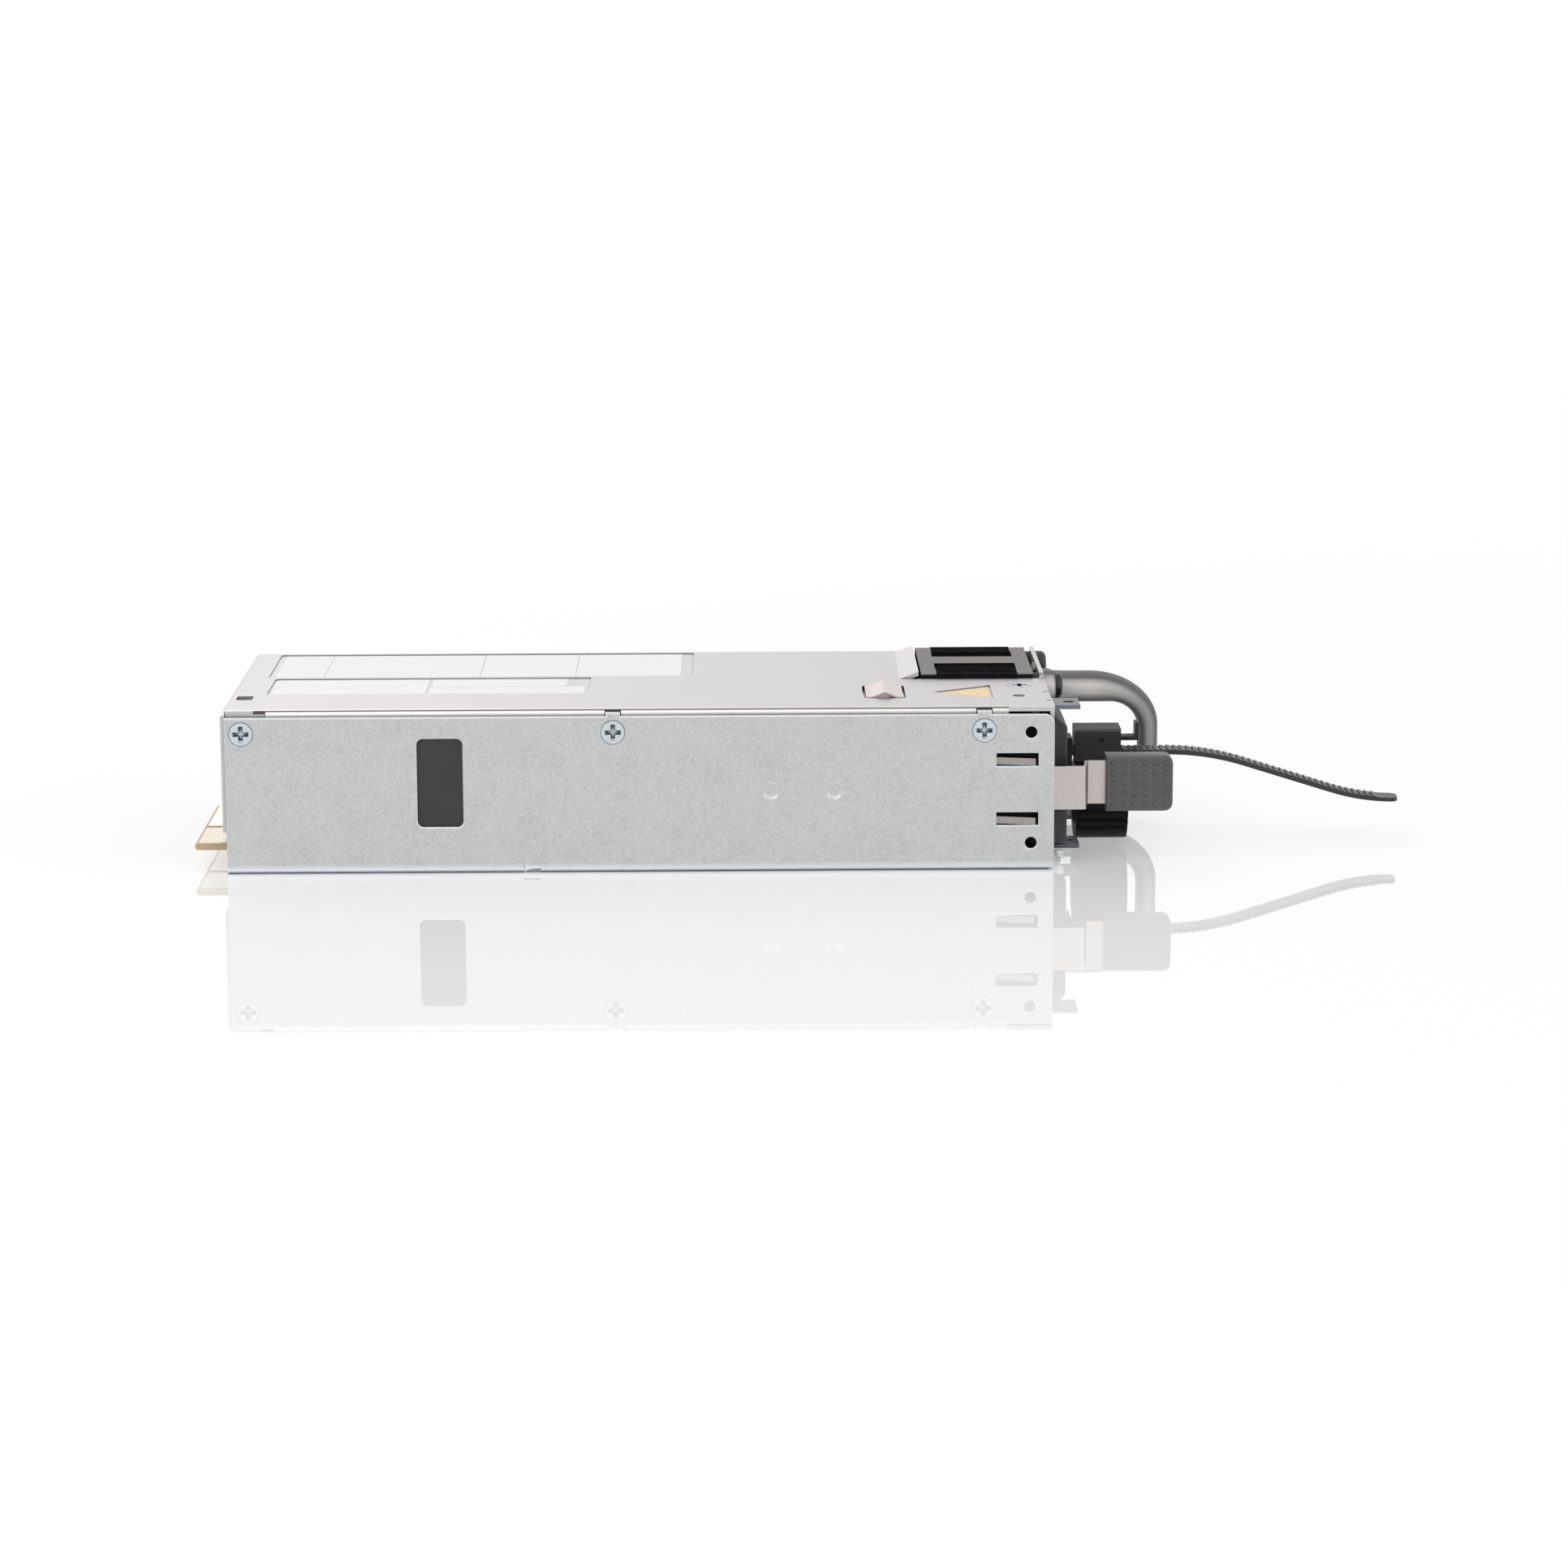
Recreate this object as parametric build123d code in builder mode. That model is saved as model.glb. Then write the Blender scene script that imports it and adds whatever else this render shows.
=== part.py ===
from build123d import *
import os
from math import cos, radians, sin

os.makedirs("parts", exist_ok=True)

# Hot swap power supply, millimetres. The origin lies under the middle of the case floor,
# +X runs to the handle end, +Z is up and the latch is on the -Y side.

# Sheet metal case
case_length = 200.0
case_width = 86.0
case_height = 40.0
sheet = 1.0
bend = 1.6
slip = 0.1
side_drop = 1.6
lip_depth = 4.0
front_wall_low = 10.0
corner_slit = 0.4
corner_round = 2.5
x_rear = case_length / 2
x_front = -case_length / 2
y_wall = case_width / 2
middle_z = case_height / 2

# Screws of the cover
screw_first_x = x_front + 4.0
screw_rear_room = 16.9
screw_count = 3
screw_pitch = (x_rear - screw_rear_room - screw_first_x) / (screw_count - 1)
screw_z = case_height - 5.6
screw_head_radius = 3.1
screw_radius = 1.5
screw_length = 5.0
screw_room = 0.15
screw_tab_width = 10.0
screw_tab_depth = 9.0
cross_length = 3.8
cross_width = 1.0
cross_depth = 0.8
top_screw_x = x_rear - 6.6
top_screw_y = -y_wall + 31.5

# Near side wall
side_hole_x = x_rear - 5.6
side_hole_z = middle_z + 0.33
side_hole_pitch = 0.68 * case_height
side_hole_radius = 1.45
window_x = x_front + 51.75
window_z = middle_z + 2.25
window_width = 11.1
window_height = case_height - 18.3
window_round = 1.5
notch_width = 4.0
notch_depth = 0.7
front_notch_x = x_front + 10.0
lock_tab_width = 3.4
lock_tab_height = 0.9
floor_notch_x = x_front + 73.7
floor_notch_height = 1.7

# Top face of the cover
label_depth = 0.3
label_round = 1.0
large_label = (x_front + 6.0, x_front + 112.4, y_wall - 38.0, y_wall - 3.8)
small_label = (x_front + 8.0, x_front + 87.0, -y_wall + 23.5, -y_wall + 46.0)
triangle_tip_x = x_rear - 28.7
triangle_base_x = x_rear - 14.0
triangle_y = -y_wall + 22.5
triangle_width = 17.9
front_slot = (x_front + 1.2, x_front + 5.2, -y_wall + 16.0, -y_wall + 21.5)
vent_hole_x = x_rear - 7.7
vent_hole_y = -y_wall + 16.5
vent_hole_radius = 1.55
lip_start_x = x_rear - 11.0
lip_reach = 0.7
intake_count = 14
intake_margin = 7.25
intake_pitch = (case_width - 2 * intake_margin) / (intake_count - 1)
intake_width = 3.2
intake_height = case_height / 2
intake_z = middle_z + 4.0

# Ears beside the mains inlet
ear_y = -y_wall + 16.0
ear_width = 10.0
ear_length = 7.0
ear_drop = 1.5
ear_low_z = 3.0
ear_hole_radius = 1.38
ear_hole_reach = 4.4
lug_size = 3.0
lug_y = -y_wall + 9.0

# Boards and standoffs
film = 0.4
film_wall = (x_front + 12.0, x_front + 86.0)
film_top = case_height - 4.6
film_room = 0.4
board = 1.6
board_z = 4.8
board_front = x_front + 1.5
board_rear = x_rear - 36.0
board_gap = 1.5
tongue_front = x_front - 8.5
tongue_near = -y_wall + 6.0
tongue_far = y_wall - 12.0
tongue_key = -y_wall + 26.0
tongue_key_width = 1.0
tongue_key_depth = 7.0
tongue_notch = (y_wall - 33.0, y_wall - 21.0)
tongue_notch_depth = 7.5
tongue_bevel = 0.4
tongue_corner = 0.6
contact = 0.08
contact_length = 6.5
contact_inset = 0.5
finger_count = 12
finger_width = 1.0
finger_margin = 0.8
standoff_radius = 3.0
board_screw_radius = 1.45
board_screw_head = 2.75
board_screw_rise = 1.9
board_fix_x = (x_front + 7.5, board_rear - 6.0)
board_fix_y = y_wall - 7.0

# Parts on the main board
bulk_radius = 0.055 * case_length
bulk_height = case_height - 9.0
bulk_x = 0.075 * case_length
bulk_y = -11.5
bulk_pitch = 0.125 * case_length
bulk_crimp = 0.5
core_x = -0.11 * case_length
core_y = -8.0
core_length = 0.18 * case_length
core_width = 24.0
core_height = case_height - 14.0
core_leg = 0.06 * case_length
core_window = 0.035 * case_length
core_yoke = 5.0
winding_overhang = 6.0
coil_room = 0.15
pfc_x = 0.22 * case_length
pfc_y = y_wall - 18.0
pfc_radius = 0.06 * case_length
pfc_bore = 0.025 * case_length
pfc_height = case_height - 18.0
emi_x = board_rear - 0.09 * case_length
emi_y = -y_wall + 21.0
emi_radius = 0.06 * case_length
emi_bore = 0.028 * case_length
emi_height = 15.0
coil_round = 0.015 * case_length
film_cap = (0.13 * case_length, 8.0, 17.0)
film_cap_round = 0.75
film_cap_x = board_rear - 0.075 * case_length
film_cap_y = y_wall - 37.0
fuse_x = film_cap_x
fuse_y = -3.0
fuse_length = 0.1 * case_length
fuse_radius = 2.6
fuse_cap = 5.5
fuse_glass_radius = 2.3
primary_sink = (-0.15 * case_length, 0.14 * case_length, y_wall - 21.0, y_wall - 5.0)
secondary_sink = (-0.36 * case_length, -0.23 * case_length, -20.0, 20.0)
sink_height = case_height - 12.0
sink_base = 3.0
fin = 1.6
fin_gap = 3.4
transistor = (0.075 * case_length, 4.6, case_height / 2)
transistor_first_x = -0.11 * case_length
transistor_pitch = 0.085 * case_length
transistor_count = 3
output_cap_x = board_front + 11.5
output_cap_count = 6
output_cap_margin = 13.0
output_cap_pitch = (case_width - 2 * output_cap_margin) / (output_cap_count - 1)
output_cap_radius = 5.0
output_cap_height = case_height - 18.0
control_length = 0.22 * case_length
control_height = case_height - 16.0
control_thick = 1.2
control_x = -0.28 * case_length
control_y = y_wall - 11.0

# Mains inlet
inlet_y = -y_wall + 20.0
inlet_z = middle_z - 1.0
inlet_width = 20.0
inlet_height = case_height - 12.6
inlet_flange_width = 22.0
inlet_flange_height = case_height - 11.2
inlet_flange = 3.8
inlet_flange_round = 0.8
inlet_slope_rise = 3.4
inlet_depth = 18.0
inlet_back = 2.5
inlet_room = 0.15
socket_width = 16.4
socket_height = inlet_height - 3.0
socket_corner = 5.0
pin_width = 4.0
pin_thick = 2.0
pin_pitch = 14.0
pin_offset = 2.0
pin_inside = 12.5
pin_tail = 4.0
lead_radius = 1.1
lead_turn = 0.68
lead_run = 8.0
lead_foot_x = board_rear - 2.0
lead_foot_first = 6.5
lead_foot_pitch = 3.5

# Fan
fan_x = x_rear - 30.6
fan_y = y_wall - 24.5
fan_z = middle_z + 1.3
fan_size = case_height
fan_depth = 28.0
fan_flange = 3.8
fan_round = 1.2
fan_room = 0.6
fan_hole_pitch = 0.8 * fan_size
fan_hole_radius = 1.8
duct_radius = fan_size / 2 - 1.1
duct_wall = 0.9
duct_land = 10.0
column = 7.0
strut = 2.2
motor_base = 2.5
hub_radius = 11.0
hub_wall = 1.4
hub_start = 3.0
hub_length = 19.0
tip_room = 0.5
blade_count = 7
blade_chord = 11.5
blade_tip_chord = 14.0
blade_thick = 1.1
blade_camber = 1.6
blade_root_pitch = 52.0
blade_tip_pitch = 38.0
blade_middle = 12.5
shaft_radius = 1.5
shaft_room = 0.05
bearing_wall = 1.4
bearing_start = 9.0
stator_radius = 8.6
stator_length = 11.0
grommet_radius = 3.4
rivet_head_radius = 3.5
rivet_head = 3.0
rivet_radius = 1.6
fan_lead_radius = 0.8
fan_lead_bend = 2.5
fan_lead_side = 0.44 * fan_size
fan_lead_drop = 11.5
guard_inner = 5.5
guard_bar = 1.5
guard_rings = 3
guard_room = 0.1
guard_reach = fan_size / 2 - guard_room - guard_inner + guard_bar
guard_slot = guard_reach / guard_rings - guard_bar
guard_spoke = 1.8
guard_angle = 45.0
ramp_run = 4.6
ramp_rise = 1.7

# Handle
handle_y = fan_y - 4.5
handle_width = 12.0
handle_z = middle_z
handle_height = case_height - 2.0
handle_reach = 30.0
handle_grip = 5.0
handle_bar = 7.6
handle_corner_run = 17.5
handle_corner_rise = 13.3
handle_inner_round = 7.0
handle_edge = 1.8
handle_foot = 3.3
handle_foot_height = 8.6
handle_lobe = 3.9
handle_screw_head = 3.3
handle_screw_rise = 1.6
handle_screw_dome = 1.1
handle_screw_radius = 1.5

# Latch
leaf = 0.6
leaf_height = 10.6
leaf_z = middle_z - 0.04
leaf_root_x = x_rear - 75.0
latch_axis_x = x_rear - 47.7
leaf_jog_x = x_rear + 7.6
leaf_jog = 7.1
leaf_bend = 1.0
leaf_end_x = x_rear + 26.5
leaf_room = 0.05
leaf_split = 0.3
stake_x = (x_rear - 68.4, x_rear - 53.1)
stake_radius = 1.6
stake_head_radius = 2.3
stake_head = 0.4
dimple_radius = 2.3
dimple_floor_radius = 1.7
dimple_depth = 0.45
latch_slot_x = (x_rear - 14.0, x_rear - 3.8)
latch_slot_height = 3.2
latch_slot_pitch = 14.55
tongue_end_room = 0.8
latch_web = 2.4
tongue_lift = 2.0
tongue_height = 1.7
tongue_drop = 0.5
latch_notch = (6.0, 12.6)
pad_x = x_rear + 13.0
pad_length = 16.3
pad_height = 13.7
pad_depth = 5.5
pad_front = 2.2
pad_round = 2.0
pad_groove = 0.6
pad_groove_back = 1.0
pad_room = 0.05

# Cord retainer
strap_y = -y_wall + 35.0
strap_z = middle_z + 2.7
strap_width = 6.5
strap_thick = 1.0
strap_end_round = 2.1
strap_bend_x = x_rear + 40.0
strap_low_x = x_rear + 79.0
strap_low_z = strap_z - 12.3
strap_end_x = x_rear + 88.0
strap_upper_bend = 64.0
strap_lower_bend = 52.0
tooth_pitch = 1.6
tooth_rise = 0.35
tooth_start_x = x_rear + 8.0
strap_collar = 6.6
collar_width = 7.4
collar_height = 7.6
strap_neck_height = 3.0
barb_length = 2.0
barb_height = 4.6
strap_room = 0.2
slider_x = x_rear + 7.2
slider_length = 11.4
slider_width = 9.6
slider_top = 6.3
slider_roof = 1.2
slider_edge = 0.8
ring_length = 12.8
ring_y = strap_y - 2.0
ring_z = strap_z - 11.5
ring_outer = 10.0
ring_inner = 6.5
ring_hinge = 118.0
ring_fixed_end = 100.0
ring_jaw_start = 140.0
ring_seam = 268.0
ring_seam_gap = 3.0
knuckle_radius = 1.7
knuckle_length = 4.0
knuckle_gap = 0.2
web_half = 1.1
web_bite = 4.0
jaw_pin_radius = 0.8
pin_room = 0.05
grip_radius = 0.55
grip_first = 160.0
grip_step = 14.0
grip_count = 5
lever_width = 4.0
lever_thick = 1.0
lever_z = strap_z + 3.4
lever_reach = 4.6
lever_pivot = 6.4
lever_pawl = 2.6
lever_tip = 4.0
lever_chamber = 3.0
pawl_room = 0.15
trunnion_radius = 0.7
lever_room = 0.3

# Ground contact and status lens
spring_slot = (x_rear - 45.7, x_rear - 35.3, -y_wall + 14.0, -y_wall + 31.6)
spring_room = 0.3
spring_thick = 0.3
spring_rise = 1.4
spring_half = 4.4
spring_foot = 7.4
spring_sink = 0.4
lens_y = strap_y
lens_z = case_height - 7.0
lens_radius = 1.5
lens_length = 5.0
lens_rise = 0.4
lens_flange_radius = 2.25

# Shared places
x_panel = x_rear - sheet
y_inner = y_wall - sheet
y_cover = y_inner - slip
z_roof = case_height - sheet
z_side = case_height - side_drop
board_top = board_z + board
fan_end = fan_x + fan_depth
screw_xs = [screw_first_x + screw_pitch * i for i in range(screw_count)]
near_plane = Plane.XZ.offset(y_wall)
rear_plane = Plane.YZ.offset(x_rear)
top_plane = Plane.XY.offset(case_height)
fan_plane = Plane(origin=(fan_x, fan_y, fan_z), x_dir=(0, 1, 0), z_dir=(1, 0, 0))
fan_corners = [
    (fan_y + side * fan_hole_pitch / 2, fan_z + level * fan_hole_pitch / 2)
    for side in (-1, 1)
    for level in (-1, 1)
]


def slab(x, y, z, mode=Mode.ADD):
    """A box given by its limits along X, Y and Z."""
    with Locations(tuple((low + high) / 2 for low, high in (x, y, z))):
        Box(*[high - low for low, high in (x, y, z)], mode=mode)


def around(middle, size):
    """The two limits of a stretch of the given size."""
    return (middle - size / 2, middle + size / 2)


def post(x, y, radius, z, mode=Mode.ADD):
    """An upright cylinder between two heights."""
    with Locations((x, y, z[0])):
        Cylinder(radius, z[1] - z[0], align=(Align.CENTER, Align.CENTER, Align.MIN), mode=mode)


def countersunk_screw():
    """A flat cross-head screw whose head fills one sheet, with its face at the local origin."""
    flush = (Align.CENTER, Align.CENTER, Align.MAX)
    head_radius = screw_head_radius - screw_room
    Cone(screw_radius - screw_room, head_radius, sheet, align=flush)
    Cylinder(screw_radius - screw_room, screw_length, align=flush)
    Box(cross_length, cross_width, cross_depth, align=flush, mode=Mode.SUBTRACT)
    Box(cross_width, cross_length, cross_depth, align=flush, mode=Mode.SUBTRACT)


def countersink():
    """The hole that takes such a screw."""
    flush = (Align.CENTER, Align.CENTER, Align.MAX)
    Cone(screw_radius, screw_head_radius, sheet, align=flush, mode=Mode.SUBTRACT)


# Tray: floor, two side walls and the rear panel, folded from one sheet
with BuildPart() as tray_hollow:
    slab((x_front - sheet, x_panel), (-y_inner, y_inner), (sheet, case_height + sheet))
    along = tray_hollow.edges().filter_by(Axis.X).group_by(Axis.Z)[0]
    across = tray_hollow.edges().filter_by(Axis.Y).group_by(Axis.Z)[0].sort_by(Axis.X)[-1]
    fillet([*along, across], bend - sheet)

with BuildPart() as chassis_tray:
    slab((x_front, x_rear), (-y_wall, y_wall), (0, z_roof))
    along = chassis_tray.edges().filter_by(Axis.X).group_by(Axis.Z)[0]
    across = chassis_tray.edges().filter_by(Axis.Y).group_by(Axis.Z)[0].sort_by(Axis.X)[-1]
    fillet([*along, across], bend)
    add(tray_hollow.part, mode=Mode.SUBTRACT)
    for side in (-1, 1):
        wall = sorted((side * y_wall, side * y_inner))
        slab((x_front, x_rear), wall, (z_side, z_roof), mode=Mode.SUBTRACT)
        seam = sorted((side * y_inner, side * (y_inner - corner_slit)))
        slab((x_panel, x_rear), seam, (2 * bend, z_roof), mode=Mode.SUBTRACT)
    corner_edges = chassis_tray.edges().filter_by(Axis.Y).group_by(Axis.Z)[-2]
    fillet(corner_edges.group_by(Axis.X)[-1], corner_round)
    for x in screw_xs[1:]:
        slab(around(x, lock_tab_width), (-y_wall, -y_inner), (z_side, z_side + lock_tab_height))
    slab(around(floor_notch_x, notch_width), (-y_wall, -y_inner), (0, floor_notch_height),
         mode=Mode.SUBTRACT)
    # The panel rises behind the fan, and a flange under the cover takes its top screw
    slab((x_panel, x_rear), around(fan_y, fan_size), (z_roof, fan_z + fan_size / 2))
    slab(around(top_screw_x, 2 * (x_panel - top_screw_x)), around(top_screw_y, screw_tab_width),
         (z_roof - sheet, z_roof))
    slab((x_panel - sheet / 2, x_panel + sheet / 2), around(top_screw_y, screw_tab_width),
         (z_roof - sheet, z_roof))
    post(top_screw_x, top_screw_y, screw_radius, (z_roof - sheet, z_roof), mode=Mode.SUBTRACT)
    # Near wall: screws, fixing holes, window and the slots of the latch
    with Locations(near_plane):
        with Locations(*[(x, screw_z) for x in screw_xs]):
            countersink()
    with BuildSketch(near_plane):
        with Locations((side_hole_x, side_hole_z)):
            with GridLocations(0, side_hole_pitch, 1, 2):
                Circle(side_hole_radius)
        with Locations((window_x, window_z)):
            RectangleRounded(window_width, window_height, window_round)
        with Locations((sum(latch_slot_x) / 2, leaf_z)):
            with GridLocations(0, latch_slot_pitch, 1, 2):
                Rectangle(latch_slot_x[1] - latch_slot_x[0], latch_slot_height)
    extrude(amount=-2 * sheet, mode=Mode.SUBTRACT)
    # Stakes pressed inward through the latch leaf, each leaving a dimple outside
    with Locations(near_plane.offset(-sheet)):
        with Locations(*[(x, leaf_z) for x in stake_x]):
            hang = (Align.CENTER, Align.CENTER, Align.MAX)
            Cylinder(stake_radius, leaf + 2 * leaf_room, align=hang)
    with Locations(near_plane.offset(-sheet - leaf - 2 * leaf_room)):
        with Locations(*[(x, leaf_z) for x in stake_x]):
            Cylinder(stake_head_radius, stake_head, align=(Align.CENTER, Align.CENTER, Align.MAX))
    with Locations(near_plane):
        with Locations(*[(x, leaf_z) for x in stake_x]):
            hang = (Align.CENTER, Align.CENTER, Align.MAX)
            Cone(dimple_floor_radius, dimple_radius, dimple_depth, align=hang, mode=Mode.SUBTRACT)
    # Rear panel: latch notch, inlet, strap, lens and fan openings, notch under the upper ear
    notch_y = (-y_wall + sheet, -y_wall + latch_notch[0])
    slab((x_panel, x_rear), notch_y, around(leaf_z, latch_notch[1]), mode=Mode.SUBTRACT)
    slab((x_panel, x_rear), around(ear_y, ear_width + 2 * sheet),
         (z_roof - ear_drop - sheet, z_roof), mode=Mode.SUBTRACT)
    with BuildSketch(rear_plane):
        with Locations((inlet_y, inlet_z)):
            Rectangle(inlet_width + 2 * inlet_room, inlet_height + 2 * inlet_room)
        with Locations((strap_y, strap_z)):
            Rectangle(strap_width + 2 * inlet_room, strap_neck_height + 2 * inlet_room)
        with Locations((lens_y, lens_z)):
            Circle(lens_radius + screw_room)
        with Locations(*fan_corners):
            Circle(fan_hole_radius)
    extrude(amount=-sheet, mode=Mode.SUBTRACT)
    with BuildSketch(rear_plane):
        with Locations((fan_y, fan_z)):
            for ring in range(guard_rings):
                inside = guard_inner + ring * (guard_slot + guard_bar)
                Circle(inside + guard_slot)
                Circle(inside, mode=Mode.SUBTRACT)
            with PolarLocations(0, 2, start_angle=guard_angle):
                Rectangle(fan_size, guard_spoke, mode=Mode.SUBTRACT)
    extrude(amount=-sheet, mode=Mode.SUBTRACT)
    # Lower ear and the small lug beside it
    slab((x_panel, x_rear + ear_length), around(ear_y, ear_width), (ear_low_z, ear_low_z + sheet))
    post(x_rear + ear_hole_reach, ear_y, ear_hole_radius, (ear_low_z, ear_low_z + sheet),
         mode=Mode.SUBTRACT)
    slab((x_panel, x_rear + lug_size), (lug_y, lug_y + sheet), (sheet, ear_low_z - 2 * slip))
chassis_tray.part.label = "chassis_tray"
export_step(chassis_tray.part, "parts/chassis_tray.step")

# Cover: top, front wall and the inner lips that the side screws hold
with BuildPart() as cover_hollow:
    inside = y_cover - sheet
    slab((x_front, x_rear + sheet), (-inside, inside), (0, z_roof))
    along = cover_hollow.edges().filter_by(Axis.X).group_by(Axis.Z)[-1]
    across = cover_hollow.edges().filter_by(Axis.Y).group_by(Axis.Z)[-1].sort_by(Axis.X)[0]
    fillet([*along, across], bend - sheet)

with BuildPart() as top_cover:
    slab((x_front - sheet, x_rear), (-y_cover, y_cover), (front_wall_low, case_height))
    along = top_cover.edges().filter_by(Axis.X).group_by(Axis.Z)[-1]
    across = top_cover.edges().filter_by(Axis.Y).group_by(Axis.Z)[-1].sort_by(Axis.X)[0]
    fillet([*along, across], bend)
    add(cover_hollow.part, mode=Mode.SUBTRACT)
    for side in (-1, 1):
        lip = sorted((side * y_cover, side * (y_cover - sheet)))
        slab((x_front, x_rear), lip, (front_wall_low, case_height - lip_depth), mode=Mode.SUBTRACT)
    for x in screw_xs:
        tab_x = (max(x_front, x - screw_tab_width / 2), x + screw_tab_width / 2)
        slab(tab_x, (-y_cover, -y_cover + sheet),
             (case_height - screw_tab_depth, case_height - lip_depth))
    # Fan bay with the ramp that meets the raised fan
    bay_near = fan_y - fan_size / 2 - fan_room
    bay_front = fan_x - fan_room
    ramp_y = (fan_y - fan_size / 2, fan_y + fan_size / 2)
    slab((bay_front, x_rear), (bay_near, y_cover), (front_wall_low, case_height), mode=Mode.SUBTRACT)
    slab((bay_front - ramp_run, bay_front), ramp_y, (z_roof, case_height), mode=Mode.SUBTRACT)
    with BuildSketch(Plane.XZ.offset(-ramp_y[1])):
        with BuildLine():
            Polyline(
                (bay_front - ramp_run, z_roof),
                (bay_front, z_roof + ramp_rise),
                (bay_front, case_height + ramp_rise),
                (bay_front - ramp_run, case_height),
                close=True,
            )
        make_face()
    extrude(amount=fan_size)
    # Flat lip at the rear end of the near edge, and the notches for the locking tabs
    slab((lip_start_x, x_rear), (-y_cover, -y_cover + bend), (0, case_height), mode=Mode.SUBTRACT)
    slab((lip_start_x, x_rear), (-y_cover - lip_reach, -y_cover + bend), (z_roof, case_height))
    for notch in [around(x, notch_width) for x in screw_xs[1:]] + [(x_front, front_notch_x)]:
        slab(notch, (-y_cover, -y_cover + notch_depth), (z_side - sheet, case_height),
             mode=Mode.SUBTRACT)
    # Label recesses, triangular recess, slots and holes in the top
    with BuildSketch(top_plane):
        for low_x, high_x, low_y, high_y in (large_label, small_label):
            with Locations(((low_x + high_x) / 2, (low_y + high_y) / 2)):
                RectangleRounded(high_x - low_x, high_y - low_y, label_round)
        with BuildLine():
            Polyline(
                (triangle_tip_x, triangle_y),
                (triangle_base_x, triangle_y - triangle_width / 2),
                (triangle_base_x, triangle_y + triangle_width / 2),
                close=True,
            )
        make_face()
    extrude(amount=-label_depth, mode=Mode.SUBTRACT)
    with BuildSketch(top_plane):
        for low_x, high_x, low_y, high_y in (front_slot, spring_slot):
            with Locations(((low_x + high_x) / 2, (low_y + high_y) / 2)):
                RectangleRounded(high_x - low_x, high_y - low_y, label_round)
        with Locations((vent_hole_x, vent_hole_y)):
            Circle(vent_hole_radius)
        for side in (-1, 1):
            with Locations((x_rear, ear_y + side * (ear_width / 2 + sheet))):
                Rectangle(2 * ear_drop, sheet)
    extrude(amount=-sheet, mode=Mode.SUBTRACT)
    with Locations(top_plane):
        with Locations((top_screw_x, top_screw_y)):
            countersink()
    with Locations(near_plane.offset(y_cover - y_wall)):
        with Locations(*[(x, screw_z) for x in screw_xs]):
            Hole(screw_radius, depth=2 * sheet)
    # Air intake slots in the front wall
    with BuildSketch(Plane.YZ.offset(x_front)):
        with Locations((0, intake_z)):
            with GridLocations(intake_pitch, 0, intake_count, 1):
                SlotOverall(intake_height, intake_width, rotation=90)
    extrude(amount=-sheet, mode=Mode.SUBTRACT)
    # Upper ear, stepped down from the rear edge
    ear_top = case_height - ear_drop
    with BuildSketch(Plane.XZ.offset(-ear_y - ear_width / 2)):
        with BuildLine():
            Polyline(
                (x_rear - ear_drop, z_roof),
                (x_rear - ear_drop, case_height),
                (x_rear - sheet, case_height),
                (x_rear + ear_drop - sheet, ear_top),
                (x_rear + ear_length, ear_top),
                (x_rear + ear_length, ear_top - sheet),
                (x_rear + ear_drop - 2 * sheet, ear_top - sheet),
                close=True,
            )
        make_face()
    extrude(amount=ear_width)
    post(x_rear + ear_hole_reach, ear_y, ear_hole_radius, (ear_top - sheet, ear_top),
         mode=Mode.SUBTRACT)
top_cover.part.label = "top_cover"
export_step(top_cover.part, "parts/top_cover.step")

with BuildPart() as cover_screws:
    with Locations(near_plane):
        with Locations(*[(x, screw_z) for x in screw_xs]):
            countersunk_screw()
    with Locations(top_plane):
        with Locations((top_screw_x, top_screw_y)):
            countersunk_screw()
cover_screws.part.label = "cover_screws"
export_step(cover_screws.part, "parts/cover_screws.step")

# Black film under the board, turned up behind the window in the near wall
board_fixings = [(x, side * board_fix_y) for x in board_fix_x for side in (-1, 1)]
with BuildPart() as insulator_film:
    slab((x_front + bend, board_rear), (-y_inner + bend, y_inner - bend), (sheet, sheet + film))
    with BuildSketch(Plane.YZ.offset(film_wall[0])):
        with BuildLine():
            Polyline(
                (-y_inner, film_top),
                (-y_inner, sheet + bend),
                (-y_inner + bend, sheet),
                (-y_inner + 2 * bend, sheet),
                (-y_inner + 2 * bend, sheet + film),
                (-y_inner + bend, sheet + film),
                (-y_inner + film, sheet + bend),
                (-y_inner + film, film_top),
                close=True,
            )
        make_face()
    extrude(amount=film_wall[1] - film_wall[0])
    with Locations(*[(x, y, sheet) for x, y in board_fixings]):
        Cylinder(standoff_radius + film_room, 2 * film, mode=Mode.SUBTRACT)
insulator_film.part.label = "insulator_film"
export_step(insulator_film.part, "parts/insulator_film.step")

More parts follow.
